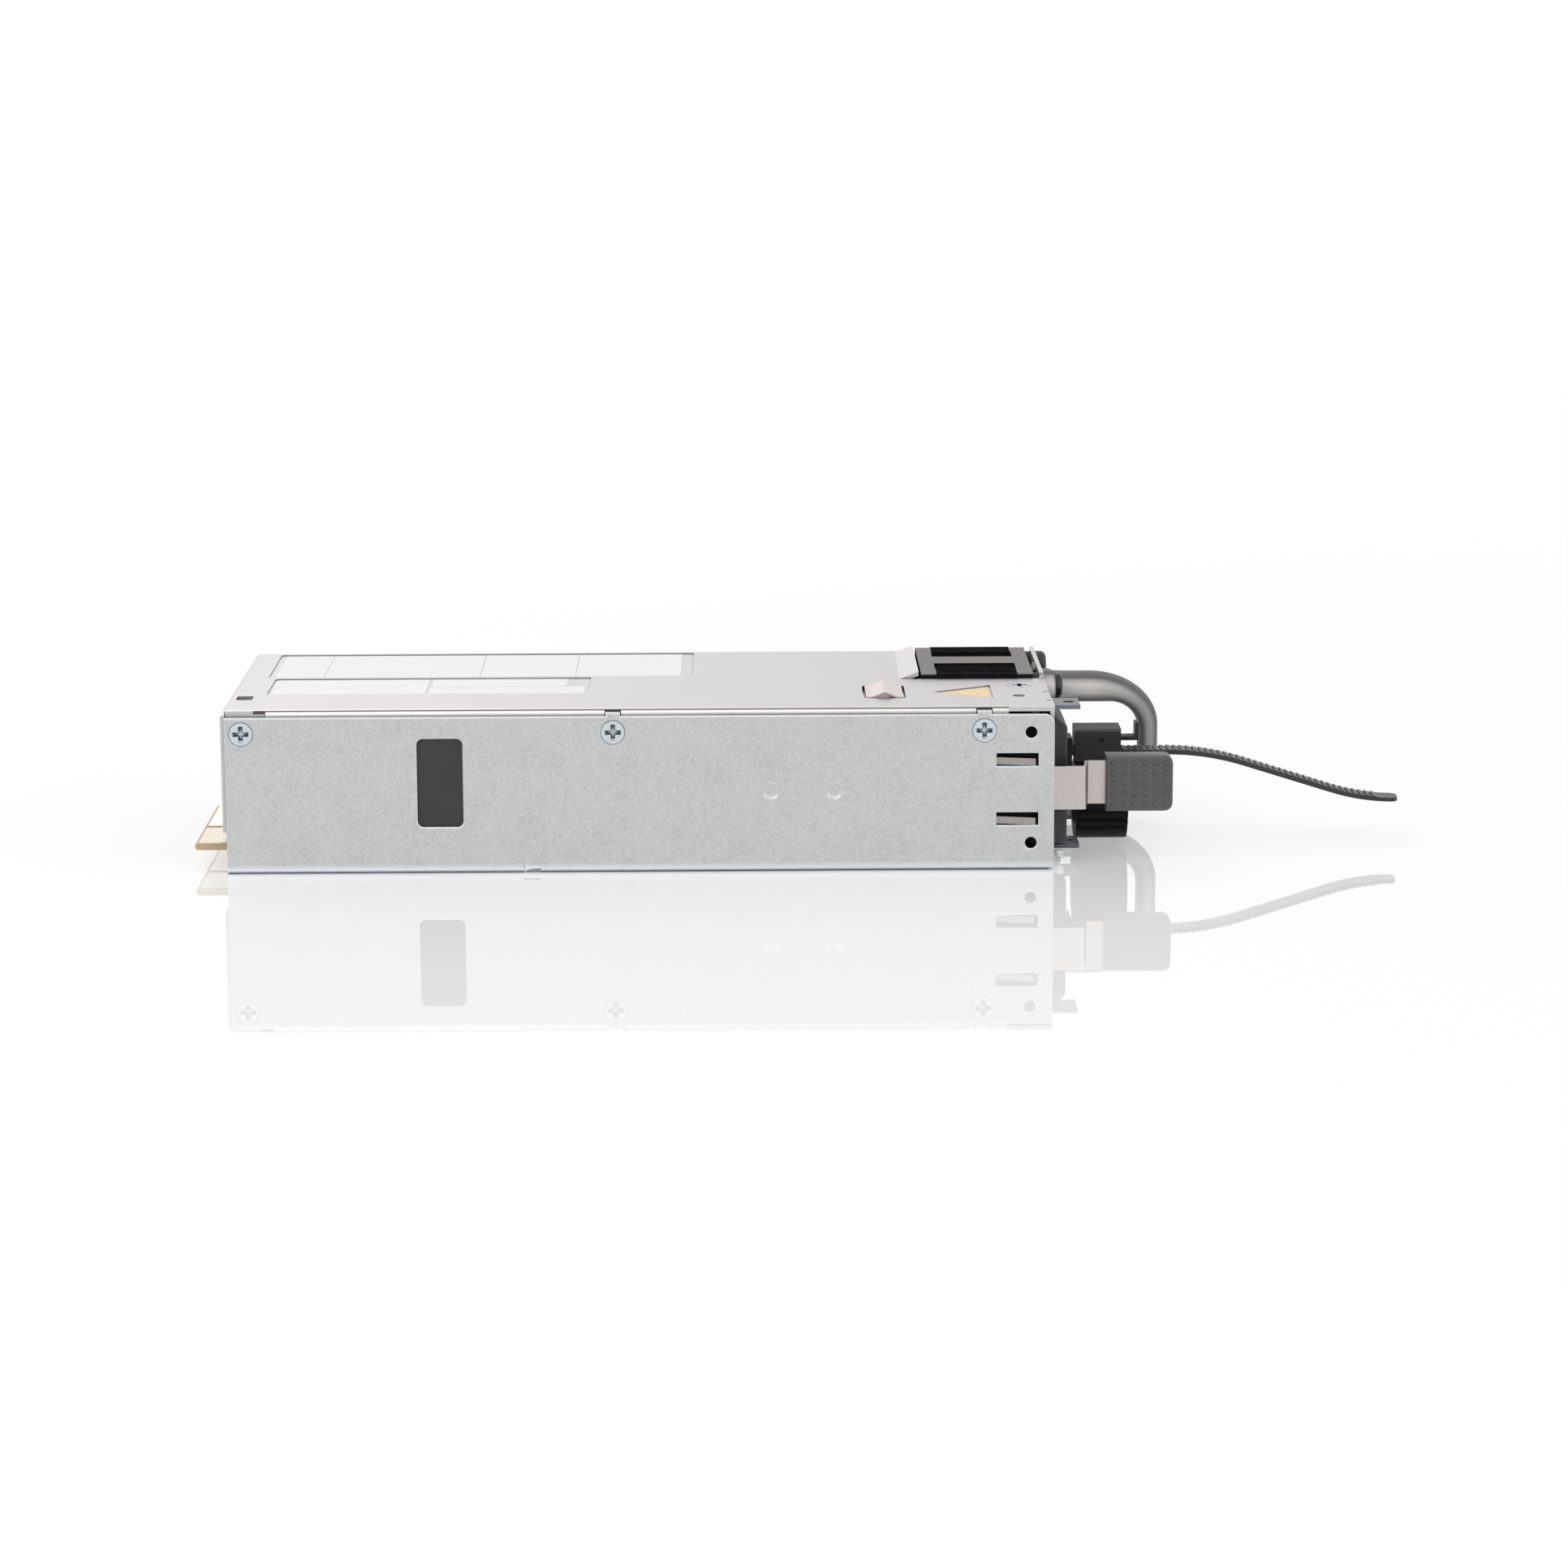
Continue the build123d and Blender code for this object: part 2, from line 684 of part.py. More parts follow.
# Main board with the edge connector that reaches out under the front wall
with BuildPart() as main_board:
    with BuildSketch(Plane.XY.offset(board_z)) as outline:
        with Locations(((board_front + board_rear) / 2, 0)):
            Rectangle(board_rear - board_front, 2 * (y_inner - board_gap))
        with Locations(((tongue_front + board_front) / 2, (tongue_near + tongue_far) / 2)):
            Rectangle(board_front - tongue_front, tongue_far - tongue_near)
        with Locations((tongue_front + tongue_key_depth / 2, tongue_key)):
            Rectangle(tongue_key_depth, tongue_key_width, mode=Mode.SUBTRACT)
        with Locations((tongue_front + tongue_notch_depth / 2, sum(tongue_notch) / 2)):
            Rectangle(tongue_notch_depth, tongue_notch[1] - tongue_notch[0], mode=Mode.SUBTRACT)
        chamfer(outline.vertices().group_by(Axis.X)[0], tongue_corner)
        with Locations(*board_fixings):
            Circle(screw_radius, mode=Mode.SUBTRACT)
    extrude(amount=board)
    chamfer(main_board.edges().filter_by(Axis.Y).group_by(Axis.X)[0], tongue_bevel)
main_board.part.label = "main_board"
export_step(main_board.part, "parts/main_board.step")

finger_low = tongue_near + finger_margin
finger_high = tongue_key - tongue_key_width / 2 - finger_margin
finger_pitch = (finger_high - finger_low) / finger_count
power_pads = [
    (tongue_key + tongue_key_width / 2 + finger_margin, tongue_notch[0] - finger_margin),
    (tongue_notch[1] + finger_margin, tongue_far - finger_margin),
]
with BuildPart() as edge_contacts:
    contact_x = tongue_front + tongue_bevel + contact_inset + contact_length / 2
    for level in (board_z - contact, board_top):
        with BuildSketch(Plane.XY.offset(level)):
            with Locations((contact_x, (finger_low + finger_high) / 2)):
                with GridLocations(0, finger_pitch, 1, finger_count):
                    Rectangle(contact_length, finger_width)
            for low_y, high_y in power_pads:
                with Locations((contact_x, (low_y + high_y) / 2)):
                    Rectangle(contact_length, high_y - low_y)
        extrude(amount=contact)
edge_contacts.part.label = "edge_contacts"
export_step(edge_contacts.part, "parts/edge_contacts.step")

with BuildPart() as board_standoffs:
    for x, y in board_fixings:
        post(x, y, standoff_radius, (sheet, board_z))
        post(x, y, screw_radius, (sheet, board_z), mode=Mode.SUBTRACT)
board_standoffs.part.label = "board_standoffs"
export_step(board_standoffs.part, "parts/board_standoffs.step")

with BuildPart() as board_screws:
    for x, y in board_fixings:
        post(x, y, board_screw_head, (board_top, board_top + board_screw_rise))
        post(x, y, board_screw_radius, (board_z - board, board_top))
board_screws.part.label = "board_screws"
export_step(board_screws.part, "parts/board_screws.step")

# Power parts on the board
with BuildPart() as bulk_capacitors:
    with Locations((bulk_x, bulk_y, board_top)):
        with GridLocations(0, bulk_pitch, 1, 2):
            Cylinder(bulk_radius, bulk_height, align=(Align.CENTER, Align.CENTER, Align.MIN))
    fillet(bulk_capacitors.edges().group_by(Axis.Z)[-1], 2 * bulk_crimp)
bulk_capacitors.part.label = "bulk_capacitors"
export_step(bulk_capacitors.part, "parts/bulk_capacitors.step")

core_middle = board_top + core_height / 2
with BuildPart() as transformer_core:
    with BuildSketch(Plane.XZ.offset(-core_y)):
        with Locations((core_x, core_middle)):
            Rectangle(core_length, core_height)
            with GridLocations(core_leg + core_window, 0, 2, 1):
                Rectangle(core_window, core_height - 2 * core_yoke, mode=Mode.SUBTRACT)
    extrude(amount=core_width / 2, both=True)
transformer_core.part.label = "transformer_core"
export_step(transformer_core.part, "parts/transformer_core.step")

with BuildPart() as transformer_winding:
    coil_height = core_height - 2 * core_yoke - 2 * coil_room
    with BuildSketch(Plane.XY.offset(core_middle)):
        with Locations((core_x, core_y)):
            RectangleRounded(
                core_leg + 2 * core_window - 2 * coil_room,
                core_width + 2 * winding_overhang,
                winding_overhang,
            )
            Rectangle(core_leg + 2 * coil_room, core_width + 2 * coil_room, mode=Mode.SUBTRACT)
    extrude(amount=coil_height / 2, both=True)
transformer_winding.part.label = "transformer_winding"
export_step(transformer_winding.part, "parts/transformer_winding.step")

with BuildPart() as pfc_choke:
    post(pfc_x, pfc_y, pfc_radius, (board_top, board_top + pfc_height))
    post(pfc_x, pfc_y, pfc_bore, (board_top, board_top + pfc_height), mode=Mode.SUBTRACT)
    fillet(pfc_choke.edges().filter_by(GeomType.CIRCLE), coil_round)
pfc_choke.part.label = "pfc_choke"
export_step(pfc_choke.part, "parts/pfc_choke.step")

with BuildPart() as emi_choke:
    post(emi_x, emi_y, emi_radius, (board_top, board_top + emi_height))
    post(emi_x, emi_y, emi_bore, (board_top, board_top + emi_height), mode=Mode.SUBTRACT)
    fillet(emi_choke.edges().filter_by(GeomType.CIRCLE), coil_round)
emi_choke.part.label = "emi_choke"
export_step(emi_choke.part, "parts/emi_choke.step")

with BuildPart() as film_capacitor:
    slab(around(film_cap_x, film_cap[0]), around(film_cap_y, film_cap[1]),
         (board_top, board_top + film_cap[2]))
    fillet(film_capacitor.edges().group_by(Axis.Z)[-1], film_cap_round)
film_capacitor.part.label = "film_capacitor"
export_step(film_capacitor.part, "parts/film_capacitor.step")

with BuildPart() as fuse:
    with Locations(Plane(origin=(fuse_x, fuse_y, board_top + fuse_radius), z_dir=(1, 0, 0))):
        Cylinder(fuse_glass_radius, fuse_length)
        with Locations((0, 0, (fuse_length - fuse_cap) / 2), (0, 0, -(fuse_length - fuse_cap) / 2)):
            Cylinder(fuse_radius, fuse_cap)
fuse.part.label = "fuse"
export_step(fuse.part, "parts/fuse.step")


def fin_count(length):
    """How many fins stand on a base of this length."""
    return int((length + fin_gap) // (fin + fin_gap))


with BuildPart() as primary_heatsink:
    low_x, high_x, low_y, high_y = primary_sink
    with BuildSketch(Plane.XY.offset(board_top)):
        with Locations(((low_x + high_x) / 2, low_y + sink_base / 2)):
            Rectangle(high_x - low_x, sink_base)
        with Locations(((low_x + high_x) / 2, (low_y + high_y) / 2)):
            with GridLocations(fin + fin_gap, 0, fin_count(high_x - low_x), 1):
                Rectangle(fin, high_y - low_y)
    extrude(amount=sink_height)
primary_heatsink.part.label = "primary_heatsink"
export_step(primary_heatsink.part, "parts/primary_heatsink.step")

with BuildPart() as secondary_heatsink:
    low_x, high_x, low_y, high_y = secondary_sink
    with BuildSketch(Plane.XY.offset(board_top)):
        with Locations(((low_x + high_x) / 2, (low_y + high_y) / 2)):
            Rectangle(sink_base, high_y - low_y)
            with GridLocations(0, fin + fin_gap, 1, fin_count(high_y - low_y)):
                Rectangle(high_x - low_x, fin)
    extrude(amount=sink_height)
secondary_heatsink.part.label = "secondary_heatsink"
export_step(secondary_heatsink.part, "parts/secondary_heatsink.step")

with BuildPart() as power_transistors:
    for i in range(transistor_count):
        slab(around(transistor_first_x + i * transistor_pitch, transistor[0]),
             (primary_sink[2] - transistor[1], primary_sink[2]),
             (board_top, board_top + transistor[2]))
power_transistors.part.label = "power_transistors"
export_step(power_transistors.part, "parts/power_transistors.step")

with BuildPart() as output_capacitors:
    with Locations((output_cap_x, 0, board_top)):
        with GridLocations(0, output_cap_pitch, 1, output_cap_count):
            Cylinder(output_cap_radius, output_cap_height,
                     align=(Align.CENTER, Align.CENTER, Align.MIN))
    fillet(output_capacitors.edges().group_by(Axis.Z)[-1], bulk_crimp)
output_capacitors.part.label = "output_capacitors"
export_step(output_capacitors.part, "parts/output_capacitors.step")

with BuildPart() as control_board:
    slab(around(control_x, control_length), around(control_y, control_thick),
         (board_top, board_top + control_height))
control_board.part.label = "control_board"
export_step(control_board.part, "parts/control_board.step")

# Mains inlet with its three pins and the leads to the board
inlet_x = x_rear - inlet_depth
socket_floor = inlet_x + inlet_back
pins = [
    (inlet_y - pin_offset, inlet_z + pin_pitch / 2),
    (inlet_y - pin_offset, inlet_z - pin_pitch / 2),
    (inlet_y + pin_offset, inlet_z),
]
with BuildPart() as inlet_body:
    flange_low, flange_high = around(inlet_z, inlet_flange_height)
    with BuildSketch(Plane.XZ.offset(-inlet_y - inlet_flange_width / 2)):
        with BuildLine():
            Polyline(
                (x_rear, flange_low),
                (x_rear + inlet_flange, flange_low),
                (x_rear + inlet_flange, flange_high),
                (x_rear, flange_high + inlet_slope_rise),
                close=True,
            )
        make_face()
    extrude(amount=inlet_flange_width)
    fillet(inlet_body.edges().group_by(Axis.X)[-1], inlet_flange_round)
    slab((inlet_x, x_rear), around(inlet_y, inlet_width), around(inlet_z, inlet_height))
    with BuildSketch(Plane.YZ.offset(x_rear + inlet_flange)) as socket:
        with Locations((inlet_y, inlet_z)):
            Rectangle(socket_width, socket_height)
        chamfer(socket.vertices().group_by(Axis.X)[-1], socket_corner)
    extrude(amount=socket_floor - x_rear - inlet_flange, mode=Mode.SUBTRACT)
    with BuildSketch(Plane.YZ.offset(socket_floor)):
        with Locations(*pins):
            Rectangle(pin_width, pin_thick)
    extrude(amount=-inlet_back, mode=Mode.SUBTRACT)
inlet_body.part.label = "inlet_body"
export_step(inlet_body.part, "parts/inlet_body.step")

with BuildPart() as inlet_pins:
    with BuildSketch(Plane.YZ.offset(inlet_x - pin_tail)):
        with Locations(*pins):
            Rectangle(pin_width, pin_thick)
    extrude(amount=pin_tail + inlet_back + pin_inside)
inlet_pins.part.label = "inlet_pins"
export_step(inlet_pins.part, "parts/inlet_pins.step")

with BuildPart() as mains_leads:
    lead_start = inlet_x - pin_tail
    lead_bend = lead_turn * (inlet_z - pin_pitch / 2 - board_top)
    for i, (y, z) in enumerate(pins):
        foot_y = inlet_y - lead_foot_first + i * lead_foot_pitch
        with BuildLine() as route:
            FilletPolyline(
                (lead_start, y, z),
                (lead_start - lead_run, y, z),
                (lead_foot_x, foot_y, z),
                (lead_foot_x, foot_y, board_top),
                radius=lead_bend,
            )
        with BuildSketch(Plane(origin=(lead_start, y, z), z_dir=(-1, 0, 0))):
            Circle(lead_radius)
        sweep(path=route.wire())
mains_leads.part.label = "mains_leads"
export_step(mains_leads.part, "parts/mains_leads.step")

# Fan: ducted frame, stator on the bearing tube, rotor on its shaft
with BuildPart() as fan_frame:
    with BuildSketch(fan_plane, fan_plane.offset(fan_depth - fan_flange)):
        RectangleRounded(fan_size, fan_size, fan_round)
        Circle(duct_radius, mode=Mode.SUBTRACT)
    extrude(amount=fan_flange)
    with BuildSketch(fan_plane.offset(fan_flange)):
        Circle(duct_radius + duct_wall)
        Rectangle(fan_size, duct_land)
        Rectangle(duct_land, fan_size)
        with GridLocations(fan_size - column, fan_size - column, 2, 2):
            Rectangle(column, column)
        Circle(duct_radius, mode=Mode.SUBTRACT)
    extrude(amount=fan_depth - 2 * fan_flange)
    with BuildSketch(fan_plane.offset(fan_depth - motor_base)):
        Circle(hub_radius)
        Rectangle(2 * duct_radius + duct_wall, strut)
        Rectangle(strut, 2 * duct_radius + duct_wall)
    extrude(amount=motor_base)
    with BuildSketch(fan_plane.offset(bearing_start)):
        Circle(shaft_radius + shaft_room + bearing_wall)
    extrude(amount=fan_depth - motor_base - bearing_start)
    with BuildSketch(fan_plane.offset(bearing_start)):
        Circle(shaft_radius + shaft_room)
    extrude(amount=fan_depth - bearing_start - motor_base / 2, mode=Mode.SUBTRACT)
    with BuildSketch(fan_plane):
        with GridLocations(fan_hole_pitch, fan_hole_pitch, 2, 2):
            Circle(fan_hole_radius)
    extrude(amount=fan_depth, mode=Mode.SUBTRACT)
fan_frame.part.label = "fan_frame"
export_step(fan_frame.part, "parts/fan_frame.step")

with BuildPart() as fan_stator:
    with BuildSketch(fan_plane.offset(fan_depth - motor_base - stator_length)):
        Circle(stator_radius)
        Circle(shaft_radius + 2 * shaft_room + bearing_wall, mode=Mode.SUBTRACT)
    extrude(amount=stator_length)
fan_stator.part.label = "fan_stator"
export_step(fan_stator.part, "parts/fan_stator.step")


# One cambered blade in the rotor's own frame, twisted from root to tip
blade_sections = [
    (hub_radius - hub_wall / 2, radians(blade_root_pitch), blade_chord),
    (duct_radius - tip_room, radians(blade_tip_pitch), blade_tip_chord),
]
with BuildPart() as fan_blade:
    for radius, pitch, chord in blade_sections:
        section = Plane((radius, 0, blade_middle), x_dir=(0, cos(pitch), sin(pitch)), z_dir=(1, 0, 0))
        with BuildSketch(section):
            with BuildLine():
                ThreePointArc((-chord / 2, 0), (0, blade_camber + blade_thick / 2), (chord / 2, 0))
                ThreePointArc((chord / 2, 0), (0, blade_camber - blade_thick / 2), (-chord / 2, 0))
            make_face()
    loft()

with BuildPart() as fan_rotor:
    with BuildSketch(fan_plane.offset(hub_start)):
        Circle(hub_radius)
    extrude(amount=hub_length)
    with BuildSketch(fan_plane.offset(hub_start + hub_wall)):
        Circle(hub_radius - hub_wall)
    extrude(amount=hub_length - hub_wall, mode=Mode.SUBTRACT)
    fillet(fan_rotor.edges().group_by(Axis.X)[0], hub_wall / 2)
    with Locations(fan_plane):
        with PolarLocations(0, blade_count):
            add(fan_blade.part)
        Cylinder(duct_radius - tip_room, 2 * fan_depth, mode=Mode.INTERSECT)
fan_rotor.part.label = "fan_rotor"
export_step(fan_rotor.part, "parts/fan_rotor.step")

with BuildPart() as fan_shaft:
    with BuildSketch(fan_plane.offset(hub_start + hub_wall)):
        Circle(shaft_radius)
    extrude(amount=fan_depth - motor_base - hub_start - hub_wall)
fan_shaft.part.label = "fan_shaft"
export_step(fan_shaft.part, "parts/fan_shaft.step")

with BuildPart() as fan_grommets:
    with BuildSketch(Plane.YZ.offset(fan_end)):
        with Locations(*fan_corners):
            Circle(grommet_radius)
            Circle(fan_hole_radius, mode=Mode.SUBTRACT)
    extrude(amount=x_panel - fan_end)
fan_grommets.part.label = "fan_grommets"
export_step(fan_grommets.part, "parts/fan_grommets.step")

with BuildPart() as fan_rivets:
    with BuildSketch(rear_plane):
        with Locations(*fan_corners[2:]):
            Circle(rivet_head_radius)
    extrude(amount=rivet_head)
    fillet(fan_rivets.edges().group_by(Axis.X)[-1], rivet_head / 2)
    with BuildSketch(rear_plane):
        with Locations(*fan_corners[2:]):
            Circle(rivet_radius)
    extrude(amount=-(x_rear - fan_end + 2 * fan_flange))
fan_rivets.part.label = "fan_rivets"
export_step(fan_rivets.part, "parts/fan_rivets.step")

with BuildPart() as fan_lead:
    lead_y = fan_y - fan_lead_side
    lead_z = fan_z - fan_lead_drop
    with BuildLine() as route:
        FilletPolyline(
            (fan_x, lead_y, lead_z),
            (lead_foot_x, lead_y, lead_z),
            (lead_foot_x, lead_y, board_top),
            radius=fan_lead_bend,
        )
    with BuildSketch(Plane(origin=(fan_x, lead_y, lead_z), z_dir=(-1, 0, 0))):
        Circle(fan_lead_radius)
    sweep(path=route.wire())
fan_lead.part.label = "fan_lead"
export_step(fan_lead.part, "parts/fan_lead.step")

# Handle: a loop whose two feet are screwed on through the near corners of the fan
handle_low, handle_top = around(handle_z, handle_height)
handle_out = x_rear + handle_reach
with BuildPart() as handle:
    with BuildSketch(Plane.XZ.offset(-handle_y - handle_width / 2)):
        turn_x = handle_out - handle_corner_run
        with BuildLine():
            upper = EllipticalCenterArc((turn_x, handle_top - handle_corner_rise),
                                        handle_corner_run, handle_corner_rise, 0, arc_size=90)
            lower = EllipticalCenterArc((turn_x, handle_low + handle_corner_rise),
                                        handle_corner_run, handle_corner_rise, 270, arc_size=90)
            Line(lower @ 1, upper @ 0)
            Polyline(upper @ 1, (x_rear, handle_top), (x_rear, handle_low), lower @ 0)
        make_face()
        with Locations((handle_out - handle_grip, handle_z)):
            RectangleRounded(2 * handle_reach, handle_height - 2 * handle_bar, handle_inner_round,
                             align=(Align.MAX, Align.CENTER), mode=Mode.SUBTRACT)
    extrude(amount=handle_width)
    rim = handle.faces().sort_by(Axis.Y)[0].edges() + handle.faces().sort_by(Axis.Y)[-1].edges()
    fillet(rim.filter_by(lambda edge: edge.center().X > x_rear + handle_edge), handle_edge)
    for level, bar_z in ((1, handle_top), (-1, handle_low)):
        with BuildSketch(rear_plane):
            with Locations((handle_y, bar_z)):
                Rectangle(handle_width, handle_foot_height,
                          align=(Align.CENTER, Align.MAX if level > 0 else Align.MIN))
            with Locations((fan_corners[0][0], fan_z + level * fan_hole_pitch / 2)):
                Circle(handle_lobe)
            make_hull()
        extrude(amount=handle_foot)
    with BuildSketch(rear_plane):
        with Locations(*fan_corners[:2]):
            Circle(handle_screw_radius + screw_room)
    extrude(amount=handle_foot, mode=Mode.SUBTRACT)
handle.part.label = "handle"
export_step(handle.part, "parts/handle.step")

with BuildPart() as handle_screws:
    with BuildSketch(rear_plane.offset(handle_foot)):
        with Locations(*fan_corners[:2]):
            Circle(handle_screw_head)
    extrude(amount=handle_screw_rise)
    fillet(handle_screws.edges().group_by(Axis.X)[-1], handle_screw_dome)
    with BuildSketch(rear_plane.offset(handle_foot)):
        with Locations(*fan_corners[:2]):
            Circle(handle_screw_radius)
    extrude(amount=-(handle_foot + x_rear - fan_end + 2 * fan_flange))
handle_screws.part.label = "handle_screws"
export_step(handle_screws.part, "parts/handle_screws.step")

# Latch: a leaf staked inside the near wall, its free blade with two tongues, and a thumb pad
leaf_y = -y_inner + leaf_room + leaf / 2
leaf_low, leaf_high = around(leaf_z, leaf_height)
pad_leaf_y = leaf_y + leaf_jog
with BuildPart() as latch_root:
    slab((leaf_root_x, latch_axis_x - leaf / 2 - leaf_split), around(leaf_y, leaf), (leaf_low, leaf_high))
    with Locations(Plane.XZ.offset(-leaf_y)):
        with Locations(*[(x, leaf_z) for x in stake_x]):
            Cylinder(stake_radius + leaf_room, 2 * leaf, mode=Mode.SUBTRACT)
latch_root.part.label = "latch_root"
export_step(latch_root.part, "parts/latch_root.step")

with BuildPart() as latch_spring:
    with BuildSketch(Plane.XY.offset(leaf_low)):
        with BuildLine():
            FilletPolyline(
                (latch_axis_x, leaf_y),
                (leaf_jog_x, leaf_y),
                (leaf_jog_x + leaf, pad_leaf_y),
                (leaf_end_x, pad_leaf_y),
                radius=leaf_bend,
            )
        trace(line_width=leaf)
        with Locations((latch_axis_x, leaf_y)):
            Circle(leaf / 2)
    extrude(amount=leaf_height)
    # Cross web and the two slanted tongues that catch behind the cage
    web_x = latch_slot_x[0]
    tongue_end_x = latch_slot_x[1] - tongue_end_room
    tongue_middle = leaf_z - tongue_drop
    slab((web_x - latch_web, web_x), around(leaf_y, leaf),
         around(tongue_middle, latch_slot_pitch + tongue_height))
    for level in (-1, 1):
        tongue_low = tongue_middle + level * latch_slot_pitch / 2 - tongue_height / 2
        with BuildSketch(Plane.XY.offset(tongue_low)):
            with BuildLine():
                Polyline(
                    (web_x - leaf, leaf_y + leaf / 2),
                    (web_x - leaf, leaf_y - leaf / 2),
                    (web_x + leaf, leaf_y - leaf / 2),
                    (tongue_end_x, leaf_y - leaf / 2 - tongue_lift),
                    (tongue_end_x, leaf_y + leaf / 2 - tongue_lift),
                    (web_x + leaf, leaf_y + leaf / 2),
                    close=True,
                )
            make_face()
        extrude(amount=tongue_height)
latch_spring.part.label = "latch_spring"
export_step(latch_spring.part, "parts/latch_spring.step")

pad_near = pad_leaf_y - leaf / 2 - pad_front
with BuildPart() as latch_pad:
    with BuildSketch(Plane.XZ.offset(-pad_near)) as face:
        with Locations((pad_x + pad_length / 2, leaf_z)):
            Rectangle(pad_length, pad_height)
        fillet(face.vertices().group_by(Axis.X)[-1], pad_round)
    extrude(amount=-pad_depth)
    fillet(latch_pad.edges().group_by(Axis.Y)[0], pad_groove)
    groove_y = (pad_near + pad_groove_back, pad_near + pad_groove_back + pad_groove)
    for level in (-1, 1):
        edge_z = leaf_z + level * pad_height / 2
        slab((pad_x, pad_x + pad_length), groove_y, around(edge_z, pad_groove), mode=Mode.SUBTRACT)
    slab((pad_x, leaf_end_x + pad_room), around(pad_leaf_y, leaf + 2 * pad_room),
         around(leaf_z, leaf_height + 2 * pad_room), mode=Mode.SUBTRACT)
latch_pad.part.label = "latch_pad"
export_step(latch_pad.part, "parts/latch_pad.step")

# Cord retainer: toothed strap snapped into the panel, sliding clamp, hinged jaw, release lever
strap_top = strap_z + strap_thick / 2
with BuildPart() as retainer_strap:
    with BuildSketch(Plane.XZ.offset(-strap_y - strap_width / 2)):
        with BuildLine() as course:
            FilletPolyline(
                (x_panel, strap_z),
                (strap_bend_x, strap_z),
                (strap_low_x, strap_low_z),
                (strap_end_x, strap_low_z),
                radius=(strap_upper_bend, strap_lower_bend),
            )
        trace(line_width=strap_thick)
        wire = course.wire()
        tooth_run = wire.length - (tooth_start_x - x_panel) - strap_width / 2
        for i in range(int(tooth_run / tooth_pitch)):
            along = tooth_start_x - x_panel + i * tooth_pitch
            spot = wire.position_at(along, position_mode=PositionMode.LENGTH)
            run = wire.tangent_at(along, position_mode=PositionMode.LENGTH)
            rise = Vector(-run.Y, run.X)
            base = spot + rise * (strap_thick / 2)
            with BuildLine():
                Polyline(
                    base - rise * (strap_thick / 4),
                    base + run * tooth_pitch - rise * (strap_thick / 4),
                    base + run * tooth_pitch,
                    base + rise * tooth_rise,
                    close=True,
                )
            make_face()
    extrude(amount=strap_width)
    fillet(retainer_strap.edges().filter_by(Axis.Z).group_by(Axis.X)[-1], strap_end_round)
    slab((x_rear, x_rear + strap_collar), around(strap_y, collar_width), around(strap_z, collar_height))
    slab((x_panel, x_rear), around(strap_y, strap_width), around(strap_z, strap_neck_height))
    slab((x_panel - barb_length, x_panel), around(strap_y, strap_width), around(strap_z, barb_height))
retainer_strap.part.label = "retainer_strap"
export_step(retainer_strap.part, "parts/retainer_strap.step")

ring_middle = (ring_outer + ring_inner) / 2
hinge_y = ring_y + ring_middle * cos(radians(ring_hinge))
hinge_z = ring_z + ring_middle * sin(radians(ring_hinge))
slider_end = slider_x + slider_length
slider_floor = strap_z - strap_thick / 2 - strap_room
knuckle_x = around(slider_x + slider_length / 2, knuckle_length)
side_knuckles = [(slider_x, knuckle_x[0] - knuckle_gap), (knuckle_x[1] + knuckle_gap, slider_end)]
web_band = around(ring_middle, 2 * web_half)
lever_x = slider_x + lever_pivot


def sector(x, start, end, band):
    """A face shaped as a ring sector, square to X."""
    with BuildSketch(Plane.YZ.offset(x), mode=Mode.PRIVATE) as shape:
        with BuildLine():
            outer = CenterArc((ring_y, ring_z), band[1], start, end - start)
            inner = CenterArc((ring_y, ring_z), band[0], start, end - start)
            Line(outer @ 0, inner @ 0)
            Line(outer @ 1, inner @ 1)
        make_face()
    return shape.sketch


with BuildPart() as retainer_slider:
    slab((slider_x, slider_end), around(strap_y, slider_width),
         (slider_floor - slider_roof, strap_z + slider_top))
    fillet(retainer_slider.edges().filter_by(Axis.X).group_by(Axis.Z)[-1], slider_edge)
    extrude(sector(slider_x, ring_seam + ring_seam_gap - 360, ring_fixed_end, (ring_inner, ring_outer)),
            amount=ring_length)
    for low_x, high_x in side_knuckles:
        extrude(sector(low_x, ring_fixed_end - web_bite, ring_hinge, web_band), amount=high_x - low_x)
        with BuildSketch(Plane.YZ.offset(low_x)):
            with Locations((hinge_y, hinge_z)):
                Circle(knuckle_radius)
        extrude(amount=high_x - low_x)
        with BuildSketch(Plane.YZ.offset(low_x)):
            with Locations((hinge_y, hinge_z)):
                Circle(jaw_pin_radius + pin_room / 2)
        extrude(amount=high_x - low_x, mode=Mode.SUBTRACT)
    # Passage for the strap, chamber for the lever and the holes for its trunnions
    slab((slider_x, slider_end), around(strap_y, strap_width + 2 * strap_room),
         (slider_floor, strap_top + tooth_rise + lever_room), mode=Mode.SUBTRACT)
    slab((lever_x - lever_pawl - lever_chamber, slider_end),
         around(strap_y, lever_width + 2 * lever_room),
         (strap_top, strap_z + slider_top - slider_roof), mode=Mode.SUBTRACT)
    with Locations(Plane((lever_x, strap_y, lever_z), x_dir=(1, 0, 0), z_dir=(0, 1, 0))):
        Cylinder(trunnion_radius + pin_room, slider_width, mode=Mode.SUBTRACT)
retainer_slider.part.label = "retainer_slider"
export_step(retainer_slider.part, "parts/retainer_slider.step")

